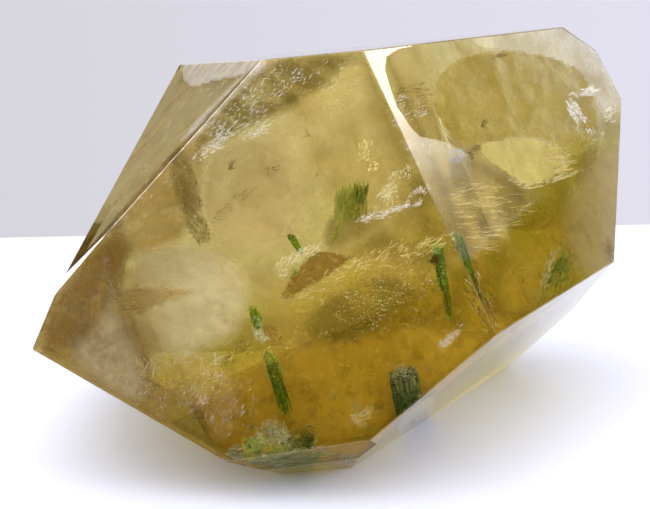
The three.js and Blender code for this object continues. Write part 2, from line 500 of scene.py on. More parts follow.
# %% [markdown]
# ## Veils
# Old cracks in a growing crystal heal and leave sheets of tiny trapped droplets, and films of
# iron stain. Each is a thin, gently curved sheet. It is drawn as a grid of points under the facet
# that it is seen through, inside an outline that was read off the photograph, and its material
# decides where it is dense and where nothing shows. The droplets themselves are a few thousandths
# of a millimetre wide and far too fine to show, so the grain is that of their clumps, one to
# nine millimetres.

# %% A veil's material and its sheet
NOISE_ROUGHNESS = 0.6
TINT_SHARE = 0.4            # of the grain's fineness
SHALLOWEST = 0.6            # mm
VEIL_SKIN = 0.05            # mm
SWELLS = (0.9, 2.1, 3)      # how fast the finer swells weaken, how much finer each is, how many


def veil_material(name, colour, second, grain, least, most, strength, stretch=(1, 1, 1), turn=0,
                  detail=5.0, metallic=0.0, roughness=0.9, crumple=0.0):
    """A veil in quartz. Its noise, with grains of a size in mm, is clear at least, full at most."""
    made, tree, out = material(name)
    place = add(tree, "ShaderNodeTexCoord").outputs["Object"]
    turned = add(tree, "ShaderNodeMapping", {"Vector": place, "Rotation": (0, math.radians(turn), 0)})
    drawn = add(tree, "ShaderNodeMapping", {"Vector": turned.outputs["Vector"], "Scale": stretch})
    clumps = add(tree, "ShaderNodeTexNoise", {
        "Vector": drawn.outputs["Vector"], "Scale": 1 / (grain * MM), "Detail": detail,
        "Roughness": NOISE_ROUGHNESS})
    shown = add(tree, "ShaderNodeMapRange", {
        "Value": clumps.outputs["Fac"], "From Min": least, "From Max": most, "To Max": strength})
    cover = add(tree, "ShaderNodeAttribute", attribute_name="cover")
    alpha = add(tree, "ShaderNodeMath", {0: shown.outputs["Result"], 1: cover.outputs["Fac"]},
                operation="MULTIPLY")
    patches = add(tree, "ShaderNodeTexNoise", {
        "Vector": drawn.outputs["Vector"], "Scale": TINT_SHARE / (grain * MM), "Detail": 4.0})
    tint = add(tree, "ShaderNodeMixRGB", {"Fac": patches.outputs["Fac"], "Color1": linear(colour),
                                          "Color2": linear(second)})
    film = add(tree, "ShaderNodeBsdfPrincipled", {
        "Base Color": tint.outputs["Color"], "Roughness": roughness, "Metallic": metallic,
        "Specular IOR Level": 0.0, "Alpha": alpha.outputs["Value"]})
    if crumple:
        ripple = add(tree, "ShaderNodeBump", {"Height": clumps.outputs["Fac"], "Distance": crumple * MM})
        tree.links.new(ripple.outputs["Normal"], film.inputs["Normal"])
    tree.links.new(film.outputs["BSDF"], out.inputs["Surface"])
    return made


def veil(name, outline, surface, deep, at, relief, edge, step, seed, wave=6, soften=2):
    """A curved sheet inside an outline of pixels, with its depth, relief and swells in mm. It fades
    within an edge of so many pixels."""
    outline = rounded(outline, soften)
    bm = bmesh.new()
    cover = bm.verts.layers.float.new("cover")
    placed = {}
    for key, (x, y, depth_in) in pixel_grid(outline, step, at).items():
        flat = seen_through(x, y, deep, at)
        swell = noise.fractal(flat / (wave * MM) + Vector((seed, 0, 0)), *SWELLS)
        placed[key] = bm.verts.new(seen_through(x, y, max(deep + relief * swell, SHALLOWEST), at))
        placed[key][cover] = smooth(depth_in / edge)
    for loop in squares(placed):
        bm.faces.new([placed[key] for key in loop])
    bmesh.ops.delete(bm, geom=[v for v in bm.verts if not v.link_faces], context="VERTS")
    keep_inside(bm, VEIL_SKIN)
    for face in bm.faces:
        face.smooth = True
    inner_piece(mesh_object(name, bm, surface))


# %% [markdown]
# ### Clouds and hazes
# Where the droplets are very small and many, they scatter light as mist does. No single one is
# seen, only a milky softness over what lies behind. Large grains and a slow rise from clear to
# dense give the eye a cloud with no edge.

# %% Cloud materials
depth_cloud = veil_material("clouded_depth", "#f0dda6", "#d0b062", 9, 0.2, 0.8, 0.85)
right_cloud = veil_material("clouded_right", "#dcc98e", "#bf9f52", 9, 0.2, 0.8, 0.85)
left_haze = veil_material("left_droplet_haze", "#d6c8a0", "#baa66c", 6, 0.1, 0.5, 0.85)
right_haze = veil_material("right_droplet_haze", "#d2be92", "#b8a064", 5, 0.0, 0.5, 0.8)
milky_haze = veil_material("milky_droplet_haze", "#dccba0", "#b89e64", 4, 0.3, 0.75, 0.5)
tip_mist = veil_material("tip_mist", "#f2e4c0", "#e0cc9c", 3, 0.15, 0.65, 0.65)
white_strip = veil_material("white_strip", "#fffaf4", "#f0e8dc", 3, 0.1, 0.6, 0.7)
print("materials so far:", len(bpy.data.materials))

# %% [markdown]
# ### Droplet films
# A crack that healed later holds larger droplets in one sheet. Where the sheet faces the window it
# is pale, and where it faces away it stands dark before the bright depth, so the dark sheet's
# colour is painted shade. This shaded sheet and the small scar are such sheets seen steeply, so
# their grain is the finest.

# %% Droplet film materials
warm_film = veil_material("warm_droplet_film", "#f0d4a8", "#e0c090", 6, 0.0, 0.5, 0.5)
pale_beige = veil_material("pale_droplet_film", "#fff6dc", "#ffecc8", 5, 0.1, 0.5, 0.9)
beige_film = veil_material("beige_droplet_film", "#c8a868", "#b89654", 3, 0.25, 0.65, 0.6)
tip_film = veil_material("tip_droplet_film", "#b89a5c", "#ceb27c", 2.5, 0.2, 0.65, 0.75, turn=-20)
margin_film = veil_material("tip_margin_film", "#846428", "#98783a", 2.5, 0.1, 0.6, 0.8, turn=-20)
pale_film = veil_material("pale_film", "#f4ead0", "#e0d4b4", 2, 0.0, 0.3, 0.97)
# This sheet's dark colour is painted shade, for a droplet sheet that faces away from the window.
shaded_droplets = veil_material("shaded_droplet_film", "#5c4a18", "#74602a", 1.4, 0.3, 0.65, 0.75)
scar_film = veil_material("scar_film", "#fff4ec", "#e0b8a0", 0.8, 0.2, 0.6, 0.8)
print("materials so far:", len(bpy.data.materials))

# %% [markdown]
# ### Films of iron stain
# Water that seeped into a crack left rust between gold, brown and olive. Such a film is even and
# more opaque than droplets are. It runs along the crack, so the noise of the brown films is turned
# and drawn out into streaks.

# %% Iron film materials
golden_film = veil_material("iron_stained_film", "#d8b44c", "#ecd070", 3, 0.25, 0.65, 0.9)
deep_gold_film = veil_material("deep_iron_film", "#e2b854", "#f2cc6c", 3, 0.1, 0.5, 0.95)
low_gold = veil_material("low_gold_film", "#f0cc68", "#f8dc80", 3, 0.1, 0.5, 0.8)
gold_patch = veil_material("gold_patch_film", "#8c6c2c", "#a0803a", 3, 0.0, 0.5, 0.7)
brown_gold = veil_material("brown_gold_film", "#a48240", "#b4944c", 3, 0.0, 0.4, 0.6)
# olive_shade is painted shade, not a stain: a dark olive sheet laid where the stone looks darker.
olive_shade = veil_material("olive_shade", "#74621c", "#8c7a30", 8, 0.2, 0.6, 0.75, detail=4)
olive_film = veil_material("olive_film", "#b29c40", "#9c862c", 5, 0.15, 0.6, 0.7)
brown_film = veil_material("brown_iron_film", "#7c5c1c", "#947430", 2.0, 0.2, 0.55, 0.75, turn=-20,
                           stretch=(0.5, 1, 1))
top_film = veil_material("olive_brown_film", "#665418", "#7e6a28", 3.0, 0.15, 0.55, 0.85, turn=-30,
                         stretch=(0.4, 1, 1))
wedge_brown = veil_material("wedge_film", "#7e5e18", "#9c7a2c", 1.6, 0.15, 0.5, 0.85, turn=-35,
                            stretch=(0.3, 1, 1))
print("materials so far:", len(bpy.data.materials))

# %% [markdown]
# ### The shell and the foot
# Quartz breaks like glass, in a ribbed shell. The one behind the right-hand facet is an open crack
# whose thin gap mirrors the light, so its film is a little metallic, smoother and crumpled. Under
# the lower facets lie fine fibres side by side, which the streaked noise gives.

# %% Shell and foot materials
shell_plate = veil_material("shell_fracture", "#f0e49c", "#e0cc7c", 3, 0.05, 0.4, 0.75, detail=3,
                            metallic=0.2, roughness=0.4, crumple=0.1)
foot_haze = veil_material("foot_haze", "#d0c0a0", "#bcaa84", 2, 0.0, 0.4, 0.6, turn=-35,
                          stretch=(0.2, 1, 1))
green_film = veil_material("green_fibre_film", "#c0bc58", "#94983c", 1.0, 0.35, 0.6, 0.7, turn=8,
                           stretch=(0.25, 1, 1))
print("materials so far:", len(bpy.data.materials))

# %% [markdown]
# ### Clouds as wide as a facet
# The depth of the stone is nowhere quite clear: a soft cloud closes it off two or three
# centimetres under the two large facets. The narrow left facet is seen so steeply that its veils
# lie just under it. Each facet is named by one of its pixels.

# %% Facet-wide clouds
ON_FRONT, ON_RIGHT, ON_LEFT = (250, 250), (500, 150), (160, 130)
ON_FOOT, ON_FRONT_FOOT = (470, 390), (300, 464)
FRONT_WIDE = [(225, 20), (400, 10), (550, 350), (400, 480), (230, 490), (190, 475), (0, 350), (25, 270)]
RIGHT_WIDE = [(320, 40), (480, 10), (570, 0), (620, 30), (650, 90), (640, 290), (480, 390)]
LEFT_WIDE = [(165, 40), (284, 40), (264, 64), (132, 208), (108, 226), (70, 226)]
LEFT_LOW = [(128, 206), (110, 206), (90, 242), (80, 258), (92, 246)]
LEFT_STRIP = [(170, 150), (196, 116), (244, 70), (262, 58), (258, 66), (216, 110), (184, 146)]
LEFT_TOP = [(176, 70), (190, 50), (270, 50), (252, 76), (214, 82), (190, 92)]
LEFT_BAND = [(150, 140), (196, 78), (250, 62), (230, 90), (180, 130), (130, 190)]
WIDE = {"relief": 2.5, "edge": 30, "step": 6, "soften": 0, "wave": 18}
LEFT_SWELL = 12

veil("cloud_behind_front", FRONT_WIDE, depth_cloud, 26, ON_FRONT, seed=0, **WIDE)
veil("cloud_behind_right", RIGHT_WIDE, right_cloud, 26, ON_RIGHT, seed=3, **WIDE)
for name, outline, surface, deep, relief, edge, step, seed, soften in [
        ("cloud_behind_left", LEFT_WIDE, left_haze, 3, 0.5, 6, 4, 4, 0),
        ("haze_low_left", LEFT_LOW, left_haze, 1.0, 0.2, 2, 1, 8, 2),
        ("white_strip_left", LEFT_STRIP, white_strip, 1.6, 0.3, 5, 3, 5, 2),
        ("white_top_left", LEFT_TOP, white_strip, 1.6, 0.3, 4, 3, 6, 2),
        ("brown_band_left_facet", LEFT_BAND, top_film, 5, 0.4, 20, 3, 7, 2)]:
    veil(name, outline, surface, deep, ON_LEFT, relief, edge, step, seed, LEFT_SWELL, soften)
print("meshes so far:", len(bpy.data.meshes))

# %% [markdown]
# ### Veils under the front facet
# From left to right in the photograph: the misty tip with its brown margin, the brown wedge and
# band that branch off it, the shaded dark sheet, the pale side, the brown film along the upper edge,
# and the golden films low down. Olive sheets of painted shade darken the quartz along the ridge, in
# the middle and above the crack. Each row has the name, the material, the depth in mm, the width of
# the soft edge in pixels and the outline. A grid of every third pixel is fine enough, but the
# hard-edged scar needs every pixel.

# %% Veils seen through the front facet
VEIL_RELIEF = 0.8
HARD_EDGE = 2
GRID_STEP, FINE_STEP = 3, 1
FRONT_SEED, RIGHT_SEED, FOOT_SEED = 20, 60, 90
FRONT_VEILS = [
    ("shade_by_the_ridge", olive_shade, 14, 24, [(350, 46), (376, 46), (474, 270), (440, 290),
     (390, 262), (340, 262), (350, 236), (400, 200), (366, 120)]),
    ("shade_in_the_middle", olive_shade, 12, 14, [(300, 310), (330, 292), (366, 270), (420, 270),
     (426, 304), (396, 316), (372, 340), (330, 350), (300, 340)]),
    ("stained_film_low", golden_film, 18, 40, [(262, 318), (345, 242), (420, 198), (442, 168),
     (500, 336), (370, 445), (240, 460), (180, 425), (215, 380), (240, 345)]),
    ("warm_middle", warm_film, 16, 30, [(190, 150), (232, 124), (300, 108), (316, 150), (316, 240),
     (262, 270), (186, 250)]),
    ("shade_above_the_crack", olive_shade, 12, 10, [(322, 214), (350, 206), (392, 206), (396, 220),
     (350, 250), (318, 256)]),
    ("pale_side", pale_beige, 14, 28, [(106, 246), (190, 232), (250, 254), (258, 316), (232, 348),
     (190, 362), (126, 372)]),
    ("beige_low", beige_film, 3.2, 20, [(118, 366), (180, 344), (236, 360), (248, 396), (236, 456),
     (170, 436), (104, 400)]),
    ("gold_left", gold_patch, 4, 14, [(78, 262), (140, 176), (200, 120), (214, 146), (204, 200),
     (192, 244), (150, 258), (112, 272), (92, 290)]),
    # A droplet sheet whose dark colour is painted shade.
    ("smudge_left", shaded_droplets, 2.2, 7, [(162, 150), (186, 144), (198, 170), (206, 215), (214, 240),
     (192, 246), (180, 214), (170, 180)]),
    ("stained_film_foot", deep_gold_film, 15, 26, [(190, 400), (230, 360), (300, 330), (400, 310),
     (490, 320), (510, 345), (376, 452), (236, 470), (196, 440)]),
    ("tip_haze", milky_haze, 3.4, 14, [(50, 285), (80, 256), (116, 262), (132, 300), (150, 345),
     (172, 402), (120, 398), (30, 350)]),
    ("brown_top", top_film, 2, 14, [(186, 144), (206, 112), (262, 54), (330, 46), (362, 50), (350, 70),
     (322, 98), (290, 116), (262, 128), (232, 146), (206, 152)]),
    ("wedge_film", wedge_brown, 4.5, 3, [(274, 302), (290, 276), (308, 254), (322, 247), (354, 257),
     (338, 273), (312, 287), (292, 300)]),
    ("brown_wedge_left", brown_gold, 3.5, 6, [(110, 290), (150, 283), (198, 287), (190, 299),
     (152, 309), (140, 320), (116, 308)]),
    ("brown_band_left", brown_gold, 3.5, 7, [(114, 300), (134, 306), (146, 334), (156, 366),
     (146, 376), (132, 352), (118, 326)]),
    ("brown_band_above", brown_gold, 3.5, 8, [(100, 236), (128, 234), (130, 302), (108, 304)]),
    ("mist_on_the_tip", tip_mist, 2.5, 20, [(66, 300), (104, 258), (126, 316), (152, 372), (146, 416),
     (104, 400), (56, 350)]),
    ("margin_of_the_tip", margin_film, 1.2, 12, [(28, 352), (54, 284), (116, 222), (136, 240),
     (122, 296), (92, 340), (64, 372)]),
    ("brown_tip", tip_film, 4, 16, [(40, 282), (70, 256), (112, 262), (126, 300), (150, 360),
     (196, 430), (120, 400), (24, 350)]),
    ("brown_patch", brown_film, 4, 4, [(258, 326), (270, 322), (282, 328), (276, 338), (262, 340)]),
    ("white_scar", scar_film, 3, 1.2, [(439, 346), (458, 326), (464, 331), (446, 350)]),
    ("pale_oval", milky_haze, 4, 4, [(346, 398), (356, 394), (366, 402), (362, 414), (350, 414)]),
]
for number, (name, surface, deep, edge, outline) in enumerate(FRONT_VEILS):
    veil(name, outline, surface, deep, ON_FRONT, VEIL_RELIEF, edge,
         FINE_STEP if edge < HARD_EDGE else GRID_STEP, FRONT_SEED + number)
print("veils under the front facet:", len(FRONT_VEILS))

# %% [markdown]
# ### Veils under the right-hand facet
# A large olive cloud with a clear outline fills the top, the pale shell hangs below it with a dark
# splinter at its root, and a gold film and an olive sheet of painted shade close off the depth
# behind the streaks.

# %% Veils seen through the right-hand facet
RIGHT_VEILS = [
    ("olive_blob", olive_film, 8, 3, [(431, 84), (448, 62), (470, 52), (503, 48), (530, 51), (557, 57),
     (580, 66), (594, 90), (602, 130), (598, 176), (576, 186), (568, 158), (552, 142), (520, 138),
     (470, 148), (446, 140), (433, 112)]),
    ("olive_low", low_gold, 14, 30, [(500, 250), (560, 196), (610, 200), (612, 262), (560, 310),
     (500, 338), (480, 290)]),
    ("shade_behind_streaks", olive_shade, 13, 10, [(436, 160), (466, 146), (550, 194), (476, 262)]),
    ("shell_plate", shell_plate, 7, 3, [(477, 142), (500, 138), (534, 136), (550, 142), (564, 153),
     (572, 170), (548, 181), (530, 189), (513, 180), (496, 168), (480, 157)]),
    ("brown_triangle", brown_film, 6, 3, [(495, 168), (512, 180), (507, 186), (492, 184)]),
    ("haze_right_edge", right_haze, 4, 26, [(586, 150), (604, 126), (640, 120), (640, 280), (586, 300),
     (556, 250), (552, 200)]),
    ("brown_specks", brown_film, 3, 4, [(602, 236), (612, 232), (616, 260), (606, 264)]),
]
for number, (name, surface, deep, edge, outline) in enumerate(RIGHT_VEILS):
    veil(name, outline, surface, deep, ON_RIGHT, VEIL_RELIEF, edge, GRID_STEP, RIGHT_SEED + number)
print("veils under the right-hand facet:", len(RIGHT_VEILS))

# %% [markdown]
# ### Veils under the two lower facets
# The lower facets are seen at a slant and look pale, since their veils lie right under the polish.
# The green film is the cluster of tourmaline at the foot, seen through its own facet.

# %% Veils seen through the two lower facets
FOOT_RELIEF = 0.3
FOOT_VEILS = [
    ("haze_under_foot", pale_film, 0.6, 4, ON_FOOT, [(398, 416), (394, 430), (404, 438), (434, 424),
     (440, 394), (426, 394)]),
    ("haze_along_foot", foot_haze, 0.6, 3, ON_FOOT, [(392, 446), (440, 408), (500, 374), (556, 322),
     (564, 322), (509, 370), (440, 414), (398, 450)]),
    ("fibres_under_front_foot", green_film, 0.8, 4, ON_FRONT_FOOT, [(228, 456), (250, 450), (300, 448),
     (326, 452), (322, 468), (290, 480), (262, 474)]),
    ("brown_under_front_foot", beige_film, 0.8, 6, ON_FRONT_FOOT, [(322, 450), (356, 450), (362, 466),
     (330, 474)]),
]
for number, (name, surface, deep, edge, at, outline) in enumerate(FOOT_VEILS):
    veil(name, outline, surface, deep, at, FOOT_RELIEF, edge, GRID_STEP, FOOT_SEED + number)
print("veils under the lower facets:", len(FOOT_VEILS))

# %% [markdown]
# ### Threads of droplets
# Where a healed crack is steep to the eye, its droplets line up into fine bright threads and short
# dashes. Each thread is a ribbon that follows a bent line of pixels under the facet, thins out at
# both ends, and has its own colour. The real ones are far thinner than a pixel, so they are drawn
# a tenth of a millimetre wide. Their directions follow the cracks in the photograph. The finish
# is rough and without gloss, since a row of droplets scatters light and has no face to mirror it.

# %% Thread material
droplets, tree, out = material("droplet_threads")
tone = add(tree, "ShaderNodeAttribute", attribute_name="tone")
thread = add(tree, "ShaderNodeBsdfPrincipled", {
    "Base Color": tone.outputs["Color"], "Roughness": 0.9, "Specular IOR Level": 0.0,
    "Alpha": tone.outputs["Alpha"]})
tree.links.new(thread.outputs["BSDF"], out.inputs["Surface"])

# %% [markdown]
# Threads gather in clumps, as the droplets of a crack do: a place is kept only where a slow noise
# is high. One thread is drawn at a time, step by step, and its direction turns a little at each.

# %% Threads
PIXEL = 0.168       # mm at the front facet
STEPS = 4
TRIES = 30
CLUMP = 14.0        # pixels
CLUMPED = (-0.35, 0.45)
LENGTHS, WIDTHS, STRENGTHS = (0.3, 1.3), (0.4, 1.2), (0.5, 1.0)     # of those asked for
THIN_END = 0.3
THREAD_SKIN = 0.15  # mm


def growth():
    """An empty mesh whose points can hold a colour and a density."""
    bm = bmesh.new()
    bm.verts.layers.float_color.new("tone")
    return bm


def thread_ribbon(bm, x, y, way, turn, reach, thick, depth, at, colour, strength):
    """One ribbon from a pixel on, with its half width in pixels. It thins and fades at both ends."""
    tone = bm.verts.layers.float_color["tone"]
    pairs = []
    for step in range(STEPS + 1):
        fade = smooth(min(step, STEPS - step) / (STEPS / 2))
        pair = []
        for side in (-1, 1):
            half = thick * side * (THIN_END + (1 - THIN_END) * fade)
            point = seen_through(x - math.sin(way) * half, y - math.cos(way) * half, depth, at)
            if point:
                pair.append(bm.verts.new(point))
                pair[-1][tone] = (*colour, strength * fade)
        if len(pair) == 2:
            pairs.append(pair)
        x, y = x + math.cos(way) * reach, y - math.sin(way) * reach
        way += turn
    for first, second in zip(pairs, pairs[1:]):
        bm.faces.new((first[0], first[1], second[1], second[0]))


def threads(name, outline, at, deep, count, length, width, angle, colours, density=0.85, swing=18,
            relief=1.0, bend=0.12):
    """Short bent ribbons inside an outline of pixels. Sizes are in mm, angle and swing in degrees."""
    rnd = random.Random(name)
    outline = rounded(outline, 1)
    xs, ys = [p[0] for p in outline], [p[1] for p in outline]
    bm = growth()
    shift = rnd.uniform(0, 50)
    left = count
    for _ in range(count * TRIES):
        x, y = rnd.uniform(min(xs), max(xs)), rnd.uniform(min(ys), max(ys))
        if left == 0 or inside_by(x, y, outline) < 0:
            continue
        if noise.noise(Vector((x / CLUMP, y / CLUMP, shift))) < rnd.uniform(*CLUMPED):
            continue
        left -= 1
        way = math.radians(angle + rnd.gauss(0, swing))
        reach = length / PIXEL * rnd.uniform(*LENGTHS) / STEPS
        turn = rnd.gauss(0, bend)
        thick = width / PIXEL / 2 * rnd.uniform(*WIDTHS)
        depth = deep + rnd.uniform(-relief, relief)
        colour = linear(rnd.choice(colours))[:3]
        strength = density * rnd.uniform(*STRENGTHS)
        thread_ribbon(bm, x, y, way, turn, reach, thick, depth, at, colour, strength)
    bmesh.ops.delete(bm, geom=[v for v in bm.verts if not v.link_faces], context="VERTS")
    keep_inside(bm, THREAD_SKIN)
    made = inner_piece(mesh_object(name, bm, droplets))
    print(name, "faces:", len(made.data.polygons))


# %% [markdown]
# Droplets that face the window are white, and those over stained quartz are gold. Iron makes the
# brown ones and the rough bark along the cracks. The greens are loose fibres beside the cluster.

# %% Colours of the threads
WHITE = ["#ffffff", "#fffaf0", "#f0e8d4"]
PALE_GOLD = ["#fff6d0", "#f0e0a0"]
GOLD = ["#fff0b0", "#f0d87c"]
ROSE = ["#f6e2d4", "#f0d8cc", "#ffffff"]
BROWN = ["#3c2c08", "#4c380c", "#5c4814"]
BARK = ["#8c6c24", "#e0c060"]
LEAF = ["#b8dc7c", "#8cbc48", "#e4f4c0"]
FOOT_GREEN = ["#a8b860", "#7c9038", "#c8d48c", "#f4f4d4"]
CURLS = ["#5c5c20", "#d8d4a0", "#484c14"]
print("whites and golds:", len(WHITE + PALE_GOLD + GOLD + ROSE), "browns:", len(BROWN + BARK))

# %% [markdown]
# ### Threads under the front facet
# A row has the name, the depth in mm, the number of threads, their length and width in mm, their
# angle in degrees, their colours, their density and the outline. The short ones are specks.

# %% Threads under the front facet
FRONT_THREADS = [
    ("threads_by_the_ridge", 1.4, 520, 1.1, 0.09, 38, WHITE, 0.9, [(186, 158), (204, 128), (250, 80),
     (272, 64), (312, 66), (290, 92), (240, 132), (200, 164)]),
    ("threads_of_the_arc", 1.6, 210, 1.5, 0.1, 22, WHITE, 0.9, [(194, 158), (206, 140), (236, 126),
     (270, 116), (286, 120), (262, 134), (222, 150)]),
    ("threads_at_the_top", 1.6, 160, 1.0, 0.09, 55, PALE_GOLD, 0.9, [(296, 60), (352, 56), (368, 100),
     (330, 118), (296, 100)]),
    ("threads_brown_top", 3, 300, 1.6, 0.12, 30, BROWN, 0.8, [(194, 138), (214, 104), (264, 60),
     (364, 54), (368, 74), (296, 100), (240, 134)]),
    ("gold_spots", 3, 60, 0.9, 0.34, 80, GOLD, 1.0, [(358, 142), (376, 144), (380, 174), (358, 172)]),
    ("threads_right", 1.8, 210, 1.1, 0.1, 50, ROSE, 0.9, [(388, 92), (410, 98), (438, 158), (412, 160),
     (388, 128)]),
    # The crinkles are real crack lines, but their pale, white and rose colours are painted glints, where
    # the crinkled gap mirrors the light.
    ("crinkle_pale", 3, 210, 1.0, 0.11, 50, PALE_GOLD, 0.9, [(370, 214), (376, 194), (392, 182),
     (400, 196), (390, 212)]),
    ("crinkle_line", 3, 140, 1.5, 0.11, 17, WHITE, 0.9, [(348, 224), (356, 218), (374, 214),
     (400, 204), (404, 209), (374, 221)]),
    ("crinkle_rose", 2.4, 140, 0.9, 0.11, 50, ROSE, 1.0, [(402, 212), (406, 196), (420, 188),
     (426, 194), (416, 210)]),
    ("crinkle_upper", 3, 90, 1.0, 0.1, 60, PALE_GOLD, 0.9, [(380, 192), (392, 172), (412, 164),
     (408, 184)]),
    # The wedge's crinkle is pale with the same painted glint.
    ("wedge_crinkle", 4, 280, 1.4, 0.11, 40, PALE_GOLD, 0.9, [(266, 284), (272, 266), (296, 250),
     (326, 244), (324, 252), (296, 262), (280, 284)]),
    ("wedge_bark", 5, 250, 1.8, 0.11, 40, BROWN + BARK, 0.8, [(276, 300), (290, 276), (310, 254),
     (350, 256), (330, 276), (300, 294)]),
    ("crack_across", 5, 320, 2.2, 0.11, 24, GOLD, 0.85, [(264, 308), (300, 286), (344, 262),
     (400, 244), (444, 240), (444, 250), (350, 276), (290, 304)]),
    ("speckles_middle", 3, 480, 0.5, 0.14, 20, GOLD + PALE_GOLD, 0.9, [(318, 270), (370, 250),
     (436, 252), (456, 290), (444, 328), (380, 338), (318, 316)]),
    ("dark_speckles_middle", 5, 320, 1.2, 0.15, 24, ["#5c4c10", "#6c5c18"], 0.45, [(318, 290),
     (360, 270), (420, 270), (446, 300), (430, 330), (370, 330), (322, 316)]),
    ("gold_speckles_low", 3, 300, 0.5, 0.14, 22, GOLD, 0.8, [(262, 322), (330, 330), (420, 330),
     (470, 316), (480, 345), (390, 400), (300, 400), (252, 366)]),
    ("threads_low_left", 1.6, 380, 1.8, 0.09, 58, WHITE, 0.6, [(120, 400), (150, 350), (186, 340),
     (240, 370), (262, 410), (240, 446), (170, 428)]),
    ("specks_low_left", 1.6, 400, 0.25, 0.15, 58, WHITE, 0.85, [(110, 392), (150, 350), (206, 350),
     (240, 380), (262, 420), (240, 448), (170, 426)]),
    ("specks_tip", 1.6, 520, 0.25, 0.14, 55, PALE_GOLD, 0.75, [(40, 346), (56, 296), (84, 262),
     (124, 262), (150, 330), (180, 404), (110, 388)]),
    ("threads_tip", 2, 200, 1.2, 0.08, 55, WHITE, 0.5, [(40, 346), (56, 296), (84, 262), (124, 262),
     (150, 330), (180, 404), (110, 388)]),
    ("curve_above", 1.6, 130, 2.0, 0.06, -78, WHITE, 0.5, [(100, 254), (108, 254), (114, 300),
     (120, 320), (112, 324), (104, 300)]),
    ("curve_below", 1.6, 130, 2.0, 0.06, -62, WHITE, 0.4, [(110, 316), (120, 316), (144, 366),
     (136, 402), (124, 402), (130, 366)]),
    ("bark_on_the_wedge", 3, 200, 1.2, 0.11, 14, GOLD + BROWN, 0.7, [(112, 290), (150, 284),
     (196, 288), (188, 298), (152, 308), (140, 320), (118, 310)]),
    ("bark_on_the_band", 3, 110, 1.2, 0.1, -62, GOLD + BROWN, 0.6, [(116, 302), (134, 308), (146, 334),
     (154, 366), (146, 372), (132, 350), (120, 326)]),
    ("threads_in_the_oval", 3, 210, 1.4, 0.08, 16, PALE_GOLD, 0.6, [(130, 240), (180, 210), (290, 210),
     (320, 300), (240, 360), (150, 340)]),
    ("threads_all_over", 3, 1000, 0.9, 0.09, 26, PALE_GOLD + GOLD + BARK, 0.55, [(60, 340), (140, 210),
     (270, 74), (372, 70), (490, 330), (372, 432), (236, 448)]),
    ("feather_left", 4, 700, 0.8, 0.14, -70, BROWN, 0.9, [(166, 160), (184, 150), (198, 180),
     (206, 222), (214, 240), (194, 244), (178, 206)]),
    ("feather_branch", 4, 210, 0.8, 0.11, 42, BROWN, 0.75, [(204, 228), (224, 204), (258, 176),
     (278, 156), (284, 164), (262, 184), (228, 215)]),
    ("dark_stroke", 4, 30, 1.4, 0.12, 60, BROWN, 0.9, [(226, 172), (234, 156), (237, 158),
     (230, 173)]),
    ("feather_low", 3, 190, 1.6, 0.11, 48, BROWN + BARK, 0.8, [(212, 374), (224, 350), (242, 342),
     (250, 352), (232, 372), (218, 382)]),
    ("patch_by_the_base", 5, 150, 0.8, 0.15, 30, BROWN + BARK, 0.6, [(260, 342), (266, 334),
     (282, 334), (284, 344), (270, 350)]),
    ("ridge_speck", 8, 60, 0.8, 0.3, 40, ["#3c2c10", "#4c3414"], 0.9, [(427, 264), (430, 257),
     (437, 258), (435, 266)]),
    ("white_scar_edge", 2.6, 40, 1.6, 0.12, 46, WHITE, 1.0, [(437, 350), (438, 344), (458, 324),
     (460, 328), (444, 346)]),
    ("rosette", 4, 140, 1.2, 0.15, 20, PALE_GOLD, 0.7, [(346, 424), (350, 412), (366, 406), (380, 412),
     (378, 422), (362, 430)]),
    ("grains_on_the_base", 10.2, 210, 0.5, 0.12, 30, ["#c8c060", "#a8b040", "#e0d888"], 0.9,
     [(262, 346), (276, 346), (296, 404), (282, 408)]),
    ("grains_on_the_top", 10.6, 100, 0.6, 0.11, 30, ["#f0ecd0", "#d8d4a0", "#ffffff"], 0.9,
     [(248, 318), (258, 316), (270, 340), (258, 344)]),
    ("white_of_the_cluster", 6, 520, 0.8, 0.1, 40, WHITE, 0.8, [(250, 440), (256, 426), (272, 418),
     (286, 426), (288, 442), (266, 448)]),
    ("green_of_the_cluster", 7, 320, 0.8, 0.11, 10, LEAF, 0.85, [(230, 452), (244, 438), (268, 438),
     (290, 446), (270, 456), (240, 458)]),
    ("curls_of_the_cluster", 8, 160, 1.4, 0.09, 20, CURLS, 0.85, [(286, 446), (290, 430), (310, 424),
     (318, 436), (308, 446)]),
    ("white_on_the_thick_one", 7.5, 150, 0.7, 0.09, 20, WHITE, 0.6, [(388, 380), (389, 366),
     (414, 364), (418, 372), (408, 380), (398, 384)]),
    ("pale_edge_of_the_thick_one", 7.5, 30, 2.6, 0.11, -60, PALE_GOLD, 0.85, [(404, 366), (408, 364),
     (424, 396), (420, 402)]),
]
for name, deep, count, length, width, angle, colours, density, outline in FRONT_THREADS:
    threads(name, outline, ON_FRONT, deep, count, length, width, angle, colours, density)

# %% [markdown]
# ### Threads under the other facets
# Behind the right-hand facet the cracks lie almost flat, as long straight streaks, so their threads
# hardly swing or bend.

